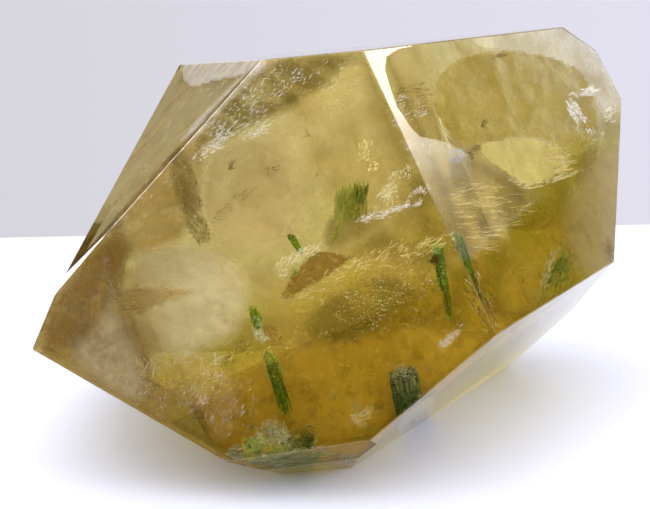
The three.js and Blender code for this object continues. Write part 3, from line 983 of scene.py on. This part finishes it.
# %% Threads under the right-hand facet
STRAIGHT = {"swing": 7, "bend": 0.05}
RIGHT_THREADS = [
    ("streaks_right", 5, 300, 4.0, 0.11, 2, ["#e6d280", "#f0e2a8", "#c8b058"], 0.7, [(440, 190),
     (470, 180), (530, 196), (510, 222), (476, 256), (460, 240)]),
    ("streaks_low", 6, 320, 2.6, 0.1, 24, ["#e6d280", "#c8a848", "#7c6418"], 0.6, [(470, 280),
     (520, 236), (580, 216), (600, 250), (560, 300), (500, 326)]),
    # The crinkles are real crack lines, but their white and pale colours are painted glints, where the
    # crinkled gap mirrors the light.
    ("crinkles_top", 1.6, 70, 1.6, 0.3, 12, WHITE, 1.0, [(562, 96), (572, 90), (592, 88), (594, 94),
     (576, 98)]),
    ("crinkles_side", 1.6, 110, 1.4, 0.3, -55, WHITE, 1.0, [(562, 98), (572, 96), (584, 116),
     (594, 126), (590, 131), (574, 122)]),
    ("crinkles_end", 1.6, 34, 0.9, 0.25, 30, WHITE, 0.9, [(600, 112), (612, 104), (614, 122),
     (604, 124)]),
    ("crinkles_shell", 4, 160, 2.2, 0.11, 10, BARK + PALE_GOLD, 0.9, [(538, 144), (552, 146),
     (566, 157), (571, 168), (552, 178), (546, 160)]),
    ("shell_rim", 4, 100, 2.2, 0.11, 18, PALE_GOLD, 0.9, [(504, 178), (528, 188), (574, 169),
     (576, 173), (530, 193), (504, 183)]),
    ("dashes_brown", 4, 190, 1.4, 0.12, 12, BROWN + BARK, 0.8, [(390, 84), (426, 84), (428, 116),
     (396, 116)]),
    ("dashes_white", 2, 80, 1.0, 0.1, 20, WHITE, 0.7, [(392, 92), (420, 100), (426, 118), (400, 122)]),
    ("dashes_by_the_ridge", 4, 140, 1.4, 0.11, -60, PALE_GOLD + BROWN, 0.8, [(470, 268), (476, 264),
     (500, 320), (492, 326)]),
    ("threads_on_the_right", 4, 420, 1.0, 0.09, 12, PALE_GOLD + BARK, 0.5, [(400, 60), (470, 48),
     (596, 70), (612, 250), (510, 328), (450, 200)]),
    ("threads_right_edge", 2, 210, 0.8, 0.09, 60, WHITE, 0.7, [(566, 92), (604, 94), (612, 140),
     (590, 150), (570, 130)]),
    ("contour_left", 4, 40, 3.5, 0.12, -66, ["#efe6b4"], 0.9, [(431, 106), (434, 106), (449, 140),
     (446, 142)]),
    ("blue_patch", 3, 160, 1.2, 0.14, 10, ["#a8b0b4", "#8c9498"], 0.6, [(444, 154), (450, 148),
     (464, 152), (462, 162), (448, 164)]),
    ("dark_fleck", 4, 160, 0.9, 0.12, 20, BROWN, 0.8, [(462, 152), (470, 144), (480, 148), (478, 160),
     (466, 160)]),
    ("dark_fleck_above", 4, 60, 0.8, 0.12, 70, BROWN, 0.9, [(479, 128), (484, 120), (490, 122),
     (485, 132)]),
    ("dark_fleck_top", 4, 60, 1.0, 0.11, 30, BROWN, 0.8, [(484, 62), (492, 56), (512, 52), (510, 58)]),
    ("dark_specks_low", 3, 80, 0.6, 0.14, 60, BROWN + BARK, 0.8, [(596, 250), (604, 242), (614, 244),
     (612, 262), (600, 264)]),
]
for name, deep, count, length, width, angle, colours, density, outline in RIGHT_THREADS:
    threads(name, outline, ON_RIGHT, deep, count, length, width, angle, colours, density, **STRAIGHT)

# %% [markdown]
# The left facet and the foot are narrow, so their threads lie within three millimetres of the polish.
# The fibres under the front foot are the cluster's own, long and parallel.

# %% Threads under the narrow facets
LEFT_THREADS = [(100, 230), (150, 150), (190, 84), (250, 70), (180, 150), (110, 236)]
FOOT_FIBRES = [(230, 456), (300, 450), (330, 452), (322, 466), (280, 476)]
FOOT_WHITE = [(326, 460), (336, 454), (354, 456), (356, 464), (340, 468)]
threads("threads_on_the_left", LEFT_THREADS, ON_LEFT, 1.6, 170, 1.6, 0.11, 48, PALE_GOLD, density=0.5)
threads("fibres_in_the_foot", FOOT_FIBRES, ON_FRONT_FOOT, 0.9, 260, 4.0, 0.16, 4, FOOT_GREEN, swing=8,
        relief=0.3)
threads("white_in_the_foot", FOOT_WHITE, ON_FRONT_FOOT, 0.9, 110, 1.4, 0.2, 10, WHITE + BARK, relief=0.3)

# %% [markdown]
# ## Tourmaline
# Green tourmaline grows as bundles of long prisms with a rounded three-sided section. Sealed in
# quartz, whose IOR of 1.54 is close to its own 1.62, it hardly reflects: it looks like tinted
# glass with soft edges. A needle is made as its real bundle is, from many fine prisms side by
# side, each a little shorter than the whole. Real ones are a few hundredths of a millimetre wide
# and these are five to ten times coarser, so that they show. Each point holds its colour and its
# density, and the density falls off at both ends, so that the bundle frays where the photograph
# shows it fraying.

# %% Prisms
PRISM_SIDES = 5
PRISM_RINGS = 4
THREE_SIDED = 0.09
TAPER = 0.12
UNEVEN_SIDE, UNEVEN_RING = 0.1, 0.04
SHADES = (0.8, 1.2)         # of the colour
FINENESS = (0.6, 1.5)       # of the width asked for
PARTS = (0.25, 0.7)         # of the whole bundle's length


def blend_colours(colours, share):
    """The linear colour at a share of the way along a list of hex colours."""
    place = min(max(share, 0), 0.9999) * (len(colours) - 1)
    first, part = int(place), place - int(place)
    pair = linear(colours[first]), linear(colours[min(first + 1, len(colours) - 1)])
    return [a + (b - a) * part for a, b in zip(*pair)][:3]


def grow_prism(bm, foot, tip, width, tones, density, rnd, fade=0.25):
    """Adds a prism from foot to tip, all in mm, with its first and last colour and its density."""
    tone = bm.verts.layers.float_color["tone"]
    axis = (tip - foot).normalized()
    side = axis.orthogonal().normalized()
    other = axis.cross(side)
    cuts = [1 + rnd.uniform(-UNEVEN_SIDE, UNEVEN_SIDE) for _ in range(PRISM_SIDES)]
    shades = [rnd.uniform(*SHADES) for _ in range(PRISM_SIDES)]
    loops = []
    for ring in range(PRISM_RINGS + 1):
        share = ring / PRISM_RINGS
        centre = foot.lerp(tip, share)
        radius = width / 2 * (1 - TAPER * share + UNEVEN_RING * rnd.uniform(-1, 1))
        dense = density * smooth(min(share, 1 - share) / fade)
        colour = [a + (b - a) * share for a, b in zip(*tones)]
        loop = []
        for index in range(PRISM_SIDES):
            angle = 2 * math.pi * index / PRISM_SIDES
            reach = radius * cuts[index] * (1 + THREE_SIDED * math.cos(3 * angle))
            outwards = side * math.cos(angle) + other * math.sin(angle)
            vertex = bm.verts.new((centre + outwards * reach) * MM)
            vertex[tone] = (*[c * shades[index] for c in colour], dense)
            loop.append(vertex)
        loops.append(loop)
    for low, high in zip(loops, loops[1:]):
        for index in range(PRISM_SIDES):
            after = (index + 1) % PRISM_SIDES
            bm.faces.new((low[index], low[after], high[after], high[index]))
    bm.faces.new(list(reversed(loops[0])))
    bm.faces.new(loops[-1])


def bundle(bm, foot, tip, width, colours, rnd, count=60, fine=0.3, density=0.7, ragged=0.06,
           spread=0.55):
    """Fine prisms side by side from foot to tip in mm, densest along the middle of the bundle."""
    along = tip - foot
    side = along.orthogonal().normalized()
    other = along.normalized().cross(side)
    for _ in range(count):
        angle = rnd.uniform(0, 2 * math.pi)
        reach = min(abs(rnd.gauss(0, spread)), 1) * width / 2
        shift = side * math.cos(angle) * reach + other * math.sin(angle) * reach
        part = rnd.uniform(*PARTS)
        start = rnd.uniform(-ragged, 1 + ragged - part)
        tones = [[c * rnd.uniform(*SHADES) for c in blend_colours(colours, share)]
                 for share in (start, start + part)]
        grow_prism(bm, foot + along * start + shift, foot + along * (start + part) + shift,
                   fine * rnd.uniform(*FINENESS), tones, density, rnd)


# %% [markdown]
# ### Tourmaline's surface
# Grown faces are glossy but striped lengthwise, so the finish is a little rough, and the frayed
# and fibrous ones are rougher. Against quartz tourmaline's IOR is only 1.62 / 1.54, about 1.06.
# A faint grain stands for the uneven growth, drawn half a millimetre large.

# %% Tourmaline materials
TOURMALINE_IN_QUARTZ = 1.06
GROWTH_GRAIN = 0.5 * MM
USUAL_SKIN = 0.35


def tourmaline_material(name, roughness):
    """Tourmaline in quartz: the colour and density of its points, with a faint grain of growth."""
    made, tree, out = material(name)
    place = add(tree, "ShaderNodeTexCoord").outputs["Object"]
    tone = add(tree, "ShaderNodeAttribute", attribute_name="tone")
    grain = add(tree, "ShaderNodeTexNoise", {"Vector": place, "Scale": 1 / GROWTH_GRAIN, "Detail": 3.0})
    shade = add(tree, "ShaderNodeMapRange", {"Value": grain.outputs["Fac"], "From Min": 0.3,
                                             "From Max": 0.7, "To Min": 0.6, "To Max": 1.3})
    tinted = add(tree, "ShaderNodeVectorMath", {0: tone.outputs["Color"], "Scale": shade.outputs["Result"]},
                 operation="SCALE")
    prism = add(tree, "ShaderNodeBsdfPrincipled", {
        "Base Color": tinted.outputs["Vector"], "Roughness": roughness, "IOR": TOURMALINE_IN_QUARTZ,
        "Alpha": tone.outputs["Alpha"]})
    tree.links.new(prism.outputs["BSDF"], out.inputs["Surface"])
    return made


TOURMALINE_SURFACES = {
    "green_tourmaline": tourmaline_material("green_tourmaline", 0.3),
    "dark_tourmaline": tourmaline_material("dark_green_tourmaline", 0.3),
    "blue_black_tourmaline": tourmaline_material("blue_black_tourmaline", 0.35),
    "pale_tourmaline": tourmaline_material("pale_fibrous_tourmaline", 0.5)}


def grown(bm, node, slot, skin=USUAL_SKIN):
    """A tourmaline mesh, kept skin mm inside the stone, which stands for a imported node."""
    keep_inside(bm, skin)
    bmesh.ops.recalc_face_normals(bm, faces=bm.faces)
    made = mesh_object(node + "_grown", bm, TOURMALINE_SURFACES[slot])
    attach(made, "root")
    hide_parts(node)
    print(made.name, "faces:", len(made.data.polygons))


# %% [markdown]
# ### Single needles
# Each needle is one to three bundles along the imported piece: a pale frayed head, a dense green
# body, and a thinner tail. The broken needle has a pale healed end at its break, and the thick one
# carries a fan of pale fibres on its head and one thin bright line across its side. Feet and
# tips are in mm, "fine" is the width of one prism, and "ragged" says how far its ends stick out.

# %% Single needles
NEEDLES = {
    "tourmaline_broken_top": ("green_tourmaline", [
        {"foot": (-18.3, -31.7, 32), "tip": (-17.9, -32.1, 30.7), "width": 2.3, "count": 40,
         "colours": ["#c4c460", "#b0b448"], "density": 0.45},
        {"foot": (-18.1, -31.9, 31.6), "tip": (-16.8, -33.2, 28), "width": 2.1, "count": 90,
         "colours": ["#9cae30", "#8ca626", "#94ac30"], "density": 0.7},
        {"foot": (-17.2, -33, 28.6), "tip": (-16.2, -33.9, 25.9), "width": 2.0, "count": 40,
         "colours": ["#e8e0b0", "#f8f0d0", "#c8c480"], "density": 0.4, "ragged": 0.15}]),
    "tourmaline_broken_base": ("green_tourmaline", [
        {"foot": (-15.4, -34.4, 24.6), "tip": (-12, -37.6, 13.4), "width": 2.2, "count": 150,
         "colours": ["#bcb84c", "#94a430", "#809824", "#809824", "#a0ac30"], "density": 0.55},
        {"foot": (-14.6, -35.2, 22), "tip": (-12.7, -36.9, 15.6), "width": 1.3, "count": 50,
         "colours": ["#789028", "#68841c", "#708c20"], "density": 0.7}]),
    "tourmaline_short": ("green_tourmaline", [
        {"foot": (-11.6, -32.5, 44.9), "tip": (-9.2, -31.5, 40.9), "width": 1.1, "count": 80,
         "colours": ["#8c8c30", "#84ac28", "#8cb42c", "#84ac28"], "density": 0.9, "ragged": 0.02}]),
    "tourmaline_chip": ("green_tourmaline", [
        {"foot": (-10.4, -32.2, 38.5), "tip": (-11.1, -33.1, 36.8), "width": 1.1, "count": 24,
         "colours": ["#a8c048", "#98b838"], "density": 0.6}]),
    "tourmaline_ridge": ("dark_tourmaline", [
        {"foot": (13.8, -34.6, 44), "tip": (14.2, -34.6, 41.8), "width": 2.4, "count": 40,
         "colours": ["#acb050", "#8c9c38"], "density": 0.3},
        {"foot": (13.9, -34.6, 43.4), "tip": (15.3, -34.3, 35.2), "width": 1.8, "count": 120,
         "colours": ["#7c9030", "#687c20", "#708424", "#80902c"], "density": 0.75},
        {"foot": (15.3, -34.3, 36.6), "tip": (16.6, -34.3, 29.7), "width": 1.2, "count": 40, "fine": 0.25,
         "colours": ["#80882c", "#98a038"], "density": 0.4}]),
    "tourmaline_thick": ("blue_black_tourmaline", [
        {"foot": (7.9, -37.7, 22.1), "tip": (8.2, -37.5, 20.2), "width": 4.8, "count": 110,
         "colours": ["#c4c8b0", "#98a088", "#707c6c"], "density": 0.4, "ragged": 0.1, "spread": 0.8},
        {"foot": (8.1, -37.5, 21.2), "tip": (10.1, -36.2, 11.5), "width": 4.5, "count": 420, "fine": 0.6,
         "colours": ["#8c9474", "#6c7c54", "#506c44", "#4c6c3c"], "density": 0.85, "spread": 0.8},
        {"foot": (9.4, -38.6, 21.6), "tip": (10.9, -38.2, 17.2), "width": 0.3, "count": 8, "fine": 0.2,
         "colours": ["#fff6d0", "#f0e4b0"], "density": 0.9}])}
SKIN_OF_NEEDLES = {"tourmaline_thick": 0.9}

for node, (slot, parts) in NEEDLES.items():
    bm = growth()
    rnd = random.Random(node)
    for part in parts:
        ends = {"foot": Vector(part["foot"]), "tip": Vector(part["tip"])}
        bundle(bm, rnd=rnd, **{**part, **ends})
    grown(bm, node, slot, SKIN_OF_NEEDLES.get(node, USUAL_SKIN))

# %% [markdown]
# ### Sprays of fibres
# Two of the inclusions are sprays: loose fibres that fan out from a common base, so fine that they
# look like fur. In the centre the fibres are long and stand in four tufts, the darkest towards
# the right. On the right they are broken into short grains, a few of them pale. A row
# has the line of feet, the line of tips, the number, the width in mm, the colours, the density,
# the scatter in mm and the part of the way that one fibre reaches.

# %% Sprays
SPRAYS = {
    "tourmaline_spray_centre": (11, [
        (((-3.6, -32.5, 46.6), (-0.2, -31.4, 47.2)), ((-3.4, -32, 54), (-0.3, -31.2, 54.2)), 220, 0.3,
         ["#b4b04c", "#a4a43c", "#bcb850", "#98a038"], 0.2, 0.6, (0.25, 0.5)),
        (((-1.4, -31.9, 47), (1.8, -30.7, 47.8)), ((-0.8, -31.2, 54.2), (2.3, -30.1, 54.4)), 150, 0.25,
         ["#94942c", "#888c24", "#a0a434", "#808c20"], 0.24, 0.45, (0.25, 0.5)),
        (((-0.2, -31.4, 49.5), (1.6, -30.8, 49.8)), ((-0.2, -31, 54), (2.2, -30.2, 54)), 34, 0.22,
         ["#5c6c18", "#506014"], 0.6, 0.3, (0.25, 0.5)),
        (((-4.6, -32.6, 43.4), (-3.8, -32.4, 43.2)), ((-2.6, -32.1, 47.6), (-1.0, -31.9, 47.8)), 40, 0.25,
         ["#a4a438", "#b4b048", "#94982c"], 0.18, 0.5, (0.25, 0.5))]),
    "tourmaline_spray_right": (13, [
        (((29.5, -22, 28.7), (36.6, -13.5, 29.5)), ((37, -6.3, 37.9), (38.8, -4, 37.3)), 230, 0.4,
         ["#c4d878", "#8cac48", "#d8e494", "#5c8430"], 0.3, 1.7, (0.05, 0.13)),
        (((31.5, -20, 30), (34.6, -15.5, 30)), ((36, -9.3, 35.5), (37, -7, 35)), 90, 0.35,
         ["#5c8834", "#84a848"], 0.35, 1.5, (0.06, 0.14)),
        (((30.4, -22, 30.4), (31.4, -20.5, 31)), ((34.4, -11, 37.4), (36, -8.8, 38)), 50, 0.25,
         ["#f4f0d0", "#fffce8"], 0.5, 1.1, (0.06, 0.2))])}
FIBRE_FADE = 0.35
STARTS, STRAY = (-0.05, 0.55), 0.08         # of the way from foot to tip, and of the line of feet


def along_line(ends, share):
    """The point at a share of the way between two ends."""
    return Vector(ends[0]).lerp(Vector(ends[1]), share)


def spray(bm, feet, tips, count, width, colours, density, scatter, reach, rnd):
    """Many fine fibres from a line of feet to a line of tips, each a little out of line."""
    for _ in range(count):
        share = rnd.random()
        foot = along_line(feet, min(max(share + rnd.gauss(0, STRAY), 0), 1))
        tip = along_line(tips, share)
        foot += Vector([rnd.uniform(-scatter, scatter) for _ in range(3)])
        tip += Vector([rnd.uniform(-scatter, scatter) for _ in range(3)])
        start = rnd.uniform(*STARTS)
        end = start + rnd.uniform(*reach)
        tones = [linear(rnd.choice(colours))[:3] for _ in range(2)]
        grow_prism(bm, foot.lerp(tip, start), foot.lerp(tip, end), width * rnd.uniform(*FINENESS), tones,
                   density, rnd, FIBRE_FADE)


for node, (seed, rows) in SPRAYS.items():
    bm = growth()
    rnd = random.Random(seed)
    for row in rows:
        spray(bm, *row, rnd)
    grown(bm, node, "green_tourmaline")

# %% [markdown]
# ### The cluster at the foot
# Many tiny needles grew here in every direction and were cut by the polished foot. Each lump is a
# ball of them, white where they are matted and green where they stand free. A lump has its centre
# and its radius in mm and its colours.

# %% Cluster
PALE, OLIVE = ["#ffffff", "#f4f0dc", "#d4d8b0"], ["#8c9054", "#6c743c", "#acac6c"]
LIGHT_GREEN = ["#a4c470", "#bcd48c", "#e4ecc4"]
LUMPS = [((-14.3, -37.2, 10), 2.5, PALE), ((-17.6, -38.5, 8.1), 2.1, LIGHT_GREEN),
         ((-11.5, -37.2, 8.1), 2.2, PALE), ((-8.6, -36.7, 8.4), 1.9, OLIVE), ((-21, -39.3, 7), 1.7, PALE),
         ((-13.8, -38.3, 5.9), 2.1, LIGHT_GREEN), ((-9.7, -37.7, 4.9), 1.8, LIGHT_GREEN)]
NEEDLES_IN_A_LUMP = 150
LUMP_DENSITY = 0.45
FROM_CENTRE, HALF_LENGTHS, NEEDLE_WIDTHS = (0.1, 0.9), (0.4, 1.2), (0.15, 0.35)
CLUSTER_SEED = 21


def any_way(rnd):
    """A random direction."""
    return Vector([rnd.gauss(0, 1) for _ in range(3)]).normalized()


bm = growth()
rnd = random.Random(CLUSTER_SEED)
for centre, radius, colours in LUMPS:
    for _ in range(NEEDLES_IN_A_LUMP):
        middle = Vector(centre) + any_way(rnd) * radius * rnd.uniform(*FROM_CENTRE)
        lean = any_way(rnd) * rnd.uniform(*HALF_LENGTHS)
        tones = [linear(rnd.choice(colours))[:3] for _ in range(2)]
        grow_prism(bm, middle - lean, middle + lean, rnd.uniform(*NEEDLE_WIDTHS), tones, LUMP_DENSITY, rnd)
grown(bm, "tourmaline_cluster", "pale_tourmaline")

# %% [markdown]
# ## What the facets mirror
# A polished facet seen at a slant mirrors a tenth of what stands around it. The stripe beside the
# ridge and the pale corner are mirrored cards in the photographer's room. A card is laid out by
# following the camera's sight lines to the facet and on in the mirrored direction. Only mirrored
# light sees it, so it neither lights the stone nor shows through it. Each row of a card has a
# height in pixels and, from left to right, places with their glow, so that a card can fade out.

# %% Cards
def card_material(name, colour, brightness):
    """A glowing card, as bright at each point as the point's glow says, and elsewhere clear."""
    made, tree, out = material(name)
    glow = add(tree, "ShaderNodeAttribute", attribute_name="glow")
    light = add(tree, "ShaderNodeEmission", {"Color": linear(colour), "Strength": brightness})
    clear = add(tree, "ShaderNodeBsdfTransparent")
    mixed = add(tree, "ShaderNodeMixShader", {"Fac": glow.outputs["Fac"], 1: clear.outputs["BSDF"],
                                              2: light.outputs["Emission"]})
    tree.links.new(mixed.outputs["Shader"], out.inputs["Surface"])
    return made


def hang(name, bm, surface):
    """Adds a card to the room, and lets only mirrored light see it."""
    made = mesh_object(name, bm, surface)
    for kind in ("camera", "diffuse", "transmission", "shadow", "volume_scatter"):
        setattr(made, "visible_" + kind, False)


def card(name, at, distance, surface, rows):
    """A flat card whose mirror image in the facet at a pixel fills its rows of pixels."""
    rays = {}
    for row, (y, places) in enumerate(rows):
        for column, (x, glow) in enumerate(places):
            line, hit, normal = facet_met(x, y, at)
            rays[row, column] = (hit, line - 2 * line.dot(normal) * normal, glow)
    mean = sum((way for _, way, _ in rays.values()), Vector()).normalized()
    centre = sum((hit for hit, _, _ in rays.values()), Vector()) / len(rays) + mean * distance
    bm = bmesh.new()
    layer = bm.verts.layers.float.new("glow")
    corner = {}
    for key, (hit, way, glow) in rays.items():
        corner[key] = bm.verts.new(hit + way * ((centre - hit).dot(mean) / way.dot(mean)))
        corner[key][layer] = glow
    for row, column in rays:
        loop = [(row, column), (row + 1, column), (row + 1, column + 1), (row, column + 1)]
        if all(key in corner for key in loop):
            bm.faces.new([corner[key] for key in loop])
    hang(name, bm, surface)
    print(name, "direction:", [round(v, 2) for v in mean])


# %% [markdown]
# ### The dark room
# Dark cards stand for the unlit parts of the room. They keep the large facets free of reflections,
# so that the eye looks straight into the stone.

# %% Dark cards
window_light = card_material("bright_window", "#fbfbff", 9.0)
pale_wall = card_material("pale_wall", "#f2f0fa", 1.5)
dark_room = card_material("dark_room", "#35332e", 1.0)
FAR, CLOSE, TOUCHING = 0.62, 0.08, 0.002
WINDOW_AWAY, WALL_AWAY = 0.5, 0.52

card("room_by_right_facet", ON_RIGHT, FAR, dark_room, [
    (0, [(330, 1), (660, 1)]), (370, [(330, 1), (660, 1)])])
card("room_by_front_facet", ON_FRONT, CLOSE, dark_room, [
    (10, [(240, 1), (390, 1)]), (290, [(20, 1), (500, 1)]), (350, [(0, 1), (540, 1)]),
    (490, [(200, 1), (380, 1)])])
card("room_by_left_facet", ON_LEFT, FAR, dark_room, [
    (30, [(150, 1), (290, 1)]), (310, [(20, 1), (70, 1)])])

# %% [markdown]
# ### The window and the pale walls
# The right-hand facet mirrors the window in a bright stripe along the ridge, whose light spreads
# over a triangle below it, and a pale wall in its outer corner.

# %% Bright cards
card("window_by_the_ridge", ON_RIGHT, WINDOW_AWAY, window_light, [
    (40, [(350, 1), (424, 1)]), (47, [(354, 1), (410, 1)]), (49, [(355, 1), (398, 1)]),
    (57, [(359, 1), (386, 1)]), (69, [(364, 1), (385, 1)]), (84, [(371, 1), (389, 1)]),
    (107, [(382, 0.95), (396, 0.95)]), (126, [(391, 0.75), (409, 0.65)]),
    (137, [(396, 0.6), (420, 0.45)]), (142, [(399, 0.55), (446, 0.22)]),
    (156, [(405, 0.38), (470, 0.1)]), (180, [(416, 0.14), (474, 0.02)]),
    (220, [(434, 0.03), (478, 0.0)]), (256, [(452, 0.0), (476, 0)])])
card("wall_in_the_triangle", ON_RIGHT, WALL_AWAY, pale_wall, [
    (137, [(399, 0.6), (420, 0.5), (421, 0.5), (423, 0)]),
    (142, [(402, 0.6), (430, 0.5), (446, 0.5), (449, 0)]),
    (158, [(410, 0.5), (450, 0.25), (476, 0.2), (479, 0)]),
    (172, [(416, 0.4), (462, 0.2), (502, 0.15), (505, 0)]),
    (195, [(426, 0.3), (480, 0.2), (543, 0.15), (547, 0)]),
    (226, [(440, 0.3), (470, 0.35), (507, 0.3), (510, 0)]),
    (256, [(454, 0.3), (464, 0.4), (473, 0.4), (476, 0)]),
    (262, [(457, 0), (464, 0), (472, 0), (476, 0)])])
card("wall_in_the_corner", ON_RIGHT, WALL_AWAY, pale_wall, [
    (10, [(456, 0), (460, 0.9), (520, 0.4), (660, 0)]),
    (43, [(474, 0), (478, 1), (520, 0.3), (660, 0)]),
    (47, [(482, 0), (486, 0.9), (530, 0.3), (660, 0.1)]),
    (50, [(518, 0), (522, 0.4), (550, 0.15), (660, 0.1)]),
    (57, [(553, 0), (557, 0.15), (580, 0.1), (660, 0.1)]),
    (64, [(576, 0), (580, 0.1), (600, 0.1), (660, 0.1)]),
    (72, [(586, 0), (590, 0.1), (610, 0.1), (660, 0.2)]),
    (120, [(588, 0), (600, 0.1), (616, 0.3), (660, 0.5)]),
    (170, [(578, 0), (596, 0.25), (614, 0.6), (660, 0.9)]),
    (270, [(586, 0), (600, 0.25), (614, 0.7), (660, 0.9)]),
    (330, [(590, 0), (604, 0.2), (616, 0.5), (660, 0.6)])])
card("shade_under_the_front_foot", ON_FRONT_FOOT, TOUCHING, dark_room, [
    (440, [(200, 0.7), (380, 0.7)]), (485, [(200, 0.7), (380, 0.7)])])

# %% [markdown]
# ### Edges that catch the window
# The rounded edges and the narrow ground bevel mirror other parts of the window. An edge turns
# from one facet's direction to the next, so a card in a direction mirrored between them lights it.

# %% Edge card
def edge_card(name, x, y, at, beside, lean, size, distance, surface):
    """A square card mirrored by the edge between two facets, where it leans to the second."""
    line, hit, normal = facet_met(x, y, at)
    _, _, other = facet_met(x, y, beside)
    between = normal.lerp(other, lean).normalized()
    way = line - 2 * line.dot(between) * between
    side = way.orthogonal().normalized() * size / 2
    up = way.cross(side).normalized() * size / 2
    bm = bmesh.new()
    layer = bm.verts.layers.float.new("glow")
    corners = [bm.verts.new(hit + way * distance + a * side + b * up)
               for a, b in ((-1, -1), (1, -1), (1, 1), (-1, 1))]
    for vertex in corners:
        vertex[layer] = 1.0
    bm.faces.new(corners)
    hang(name, bm, surface)
    print(name, "between:", [round(v, 2) for v in between], "mirrored towards:", [round(v, 2) for v in way])


RIDGE_PIXEL = (195, 133)
ON_SLIVER = (72, 272)
edge_card("window_on_the_ridge_edge", *RIDGE_PIXEL, ON_FRONT, ON_LEFT, lean=0.8, size=0.3,
          distance=WINDOW_AWAY, surface=window_light)
card("window_on_the_sliver", ON_SLIVER, WINDOW_AWAY, window_light, [
    (224, [(100, 1), (124, 1)]), (250, [(78, 1), (104, 1)]), (272, [(58, 1), (86, 1)]),
    (300, [(26, 0.8), (70, 0.8)])])
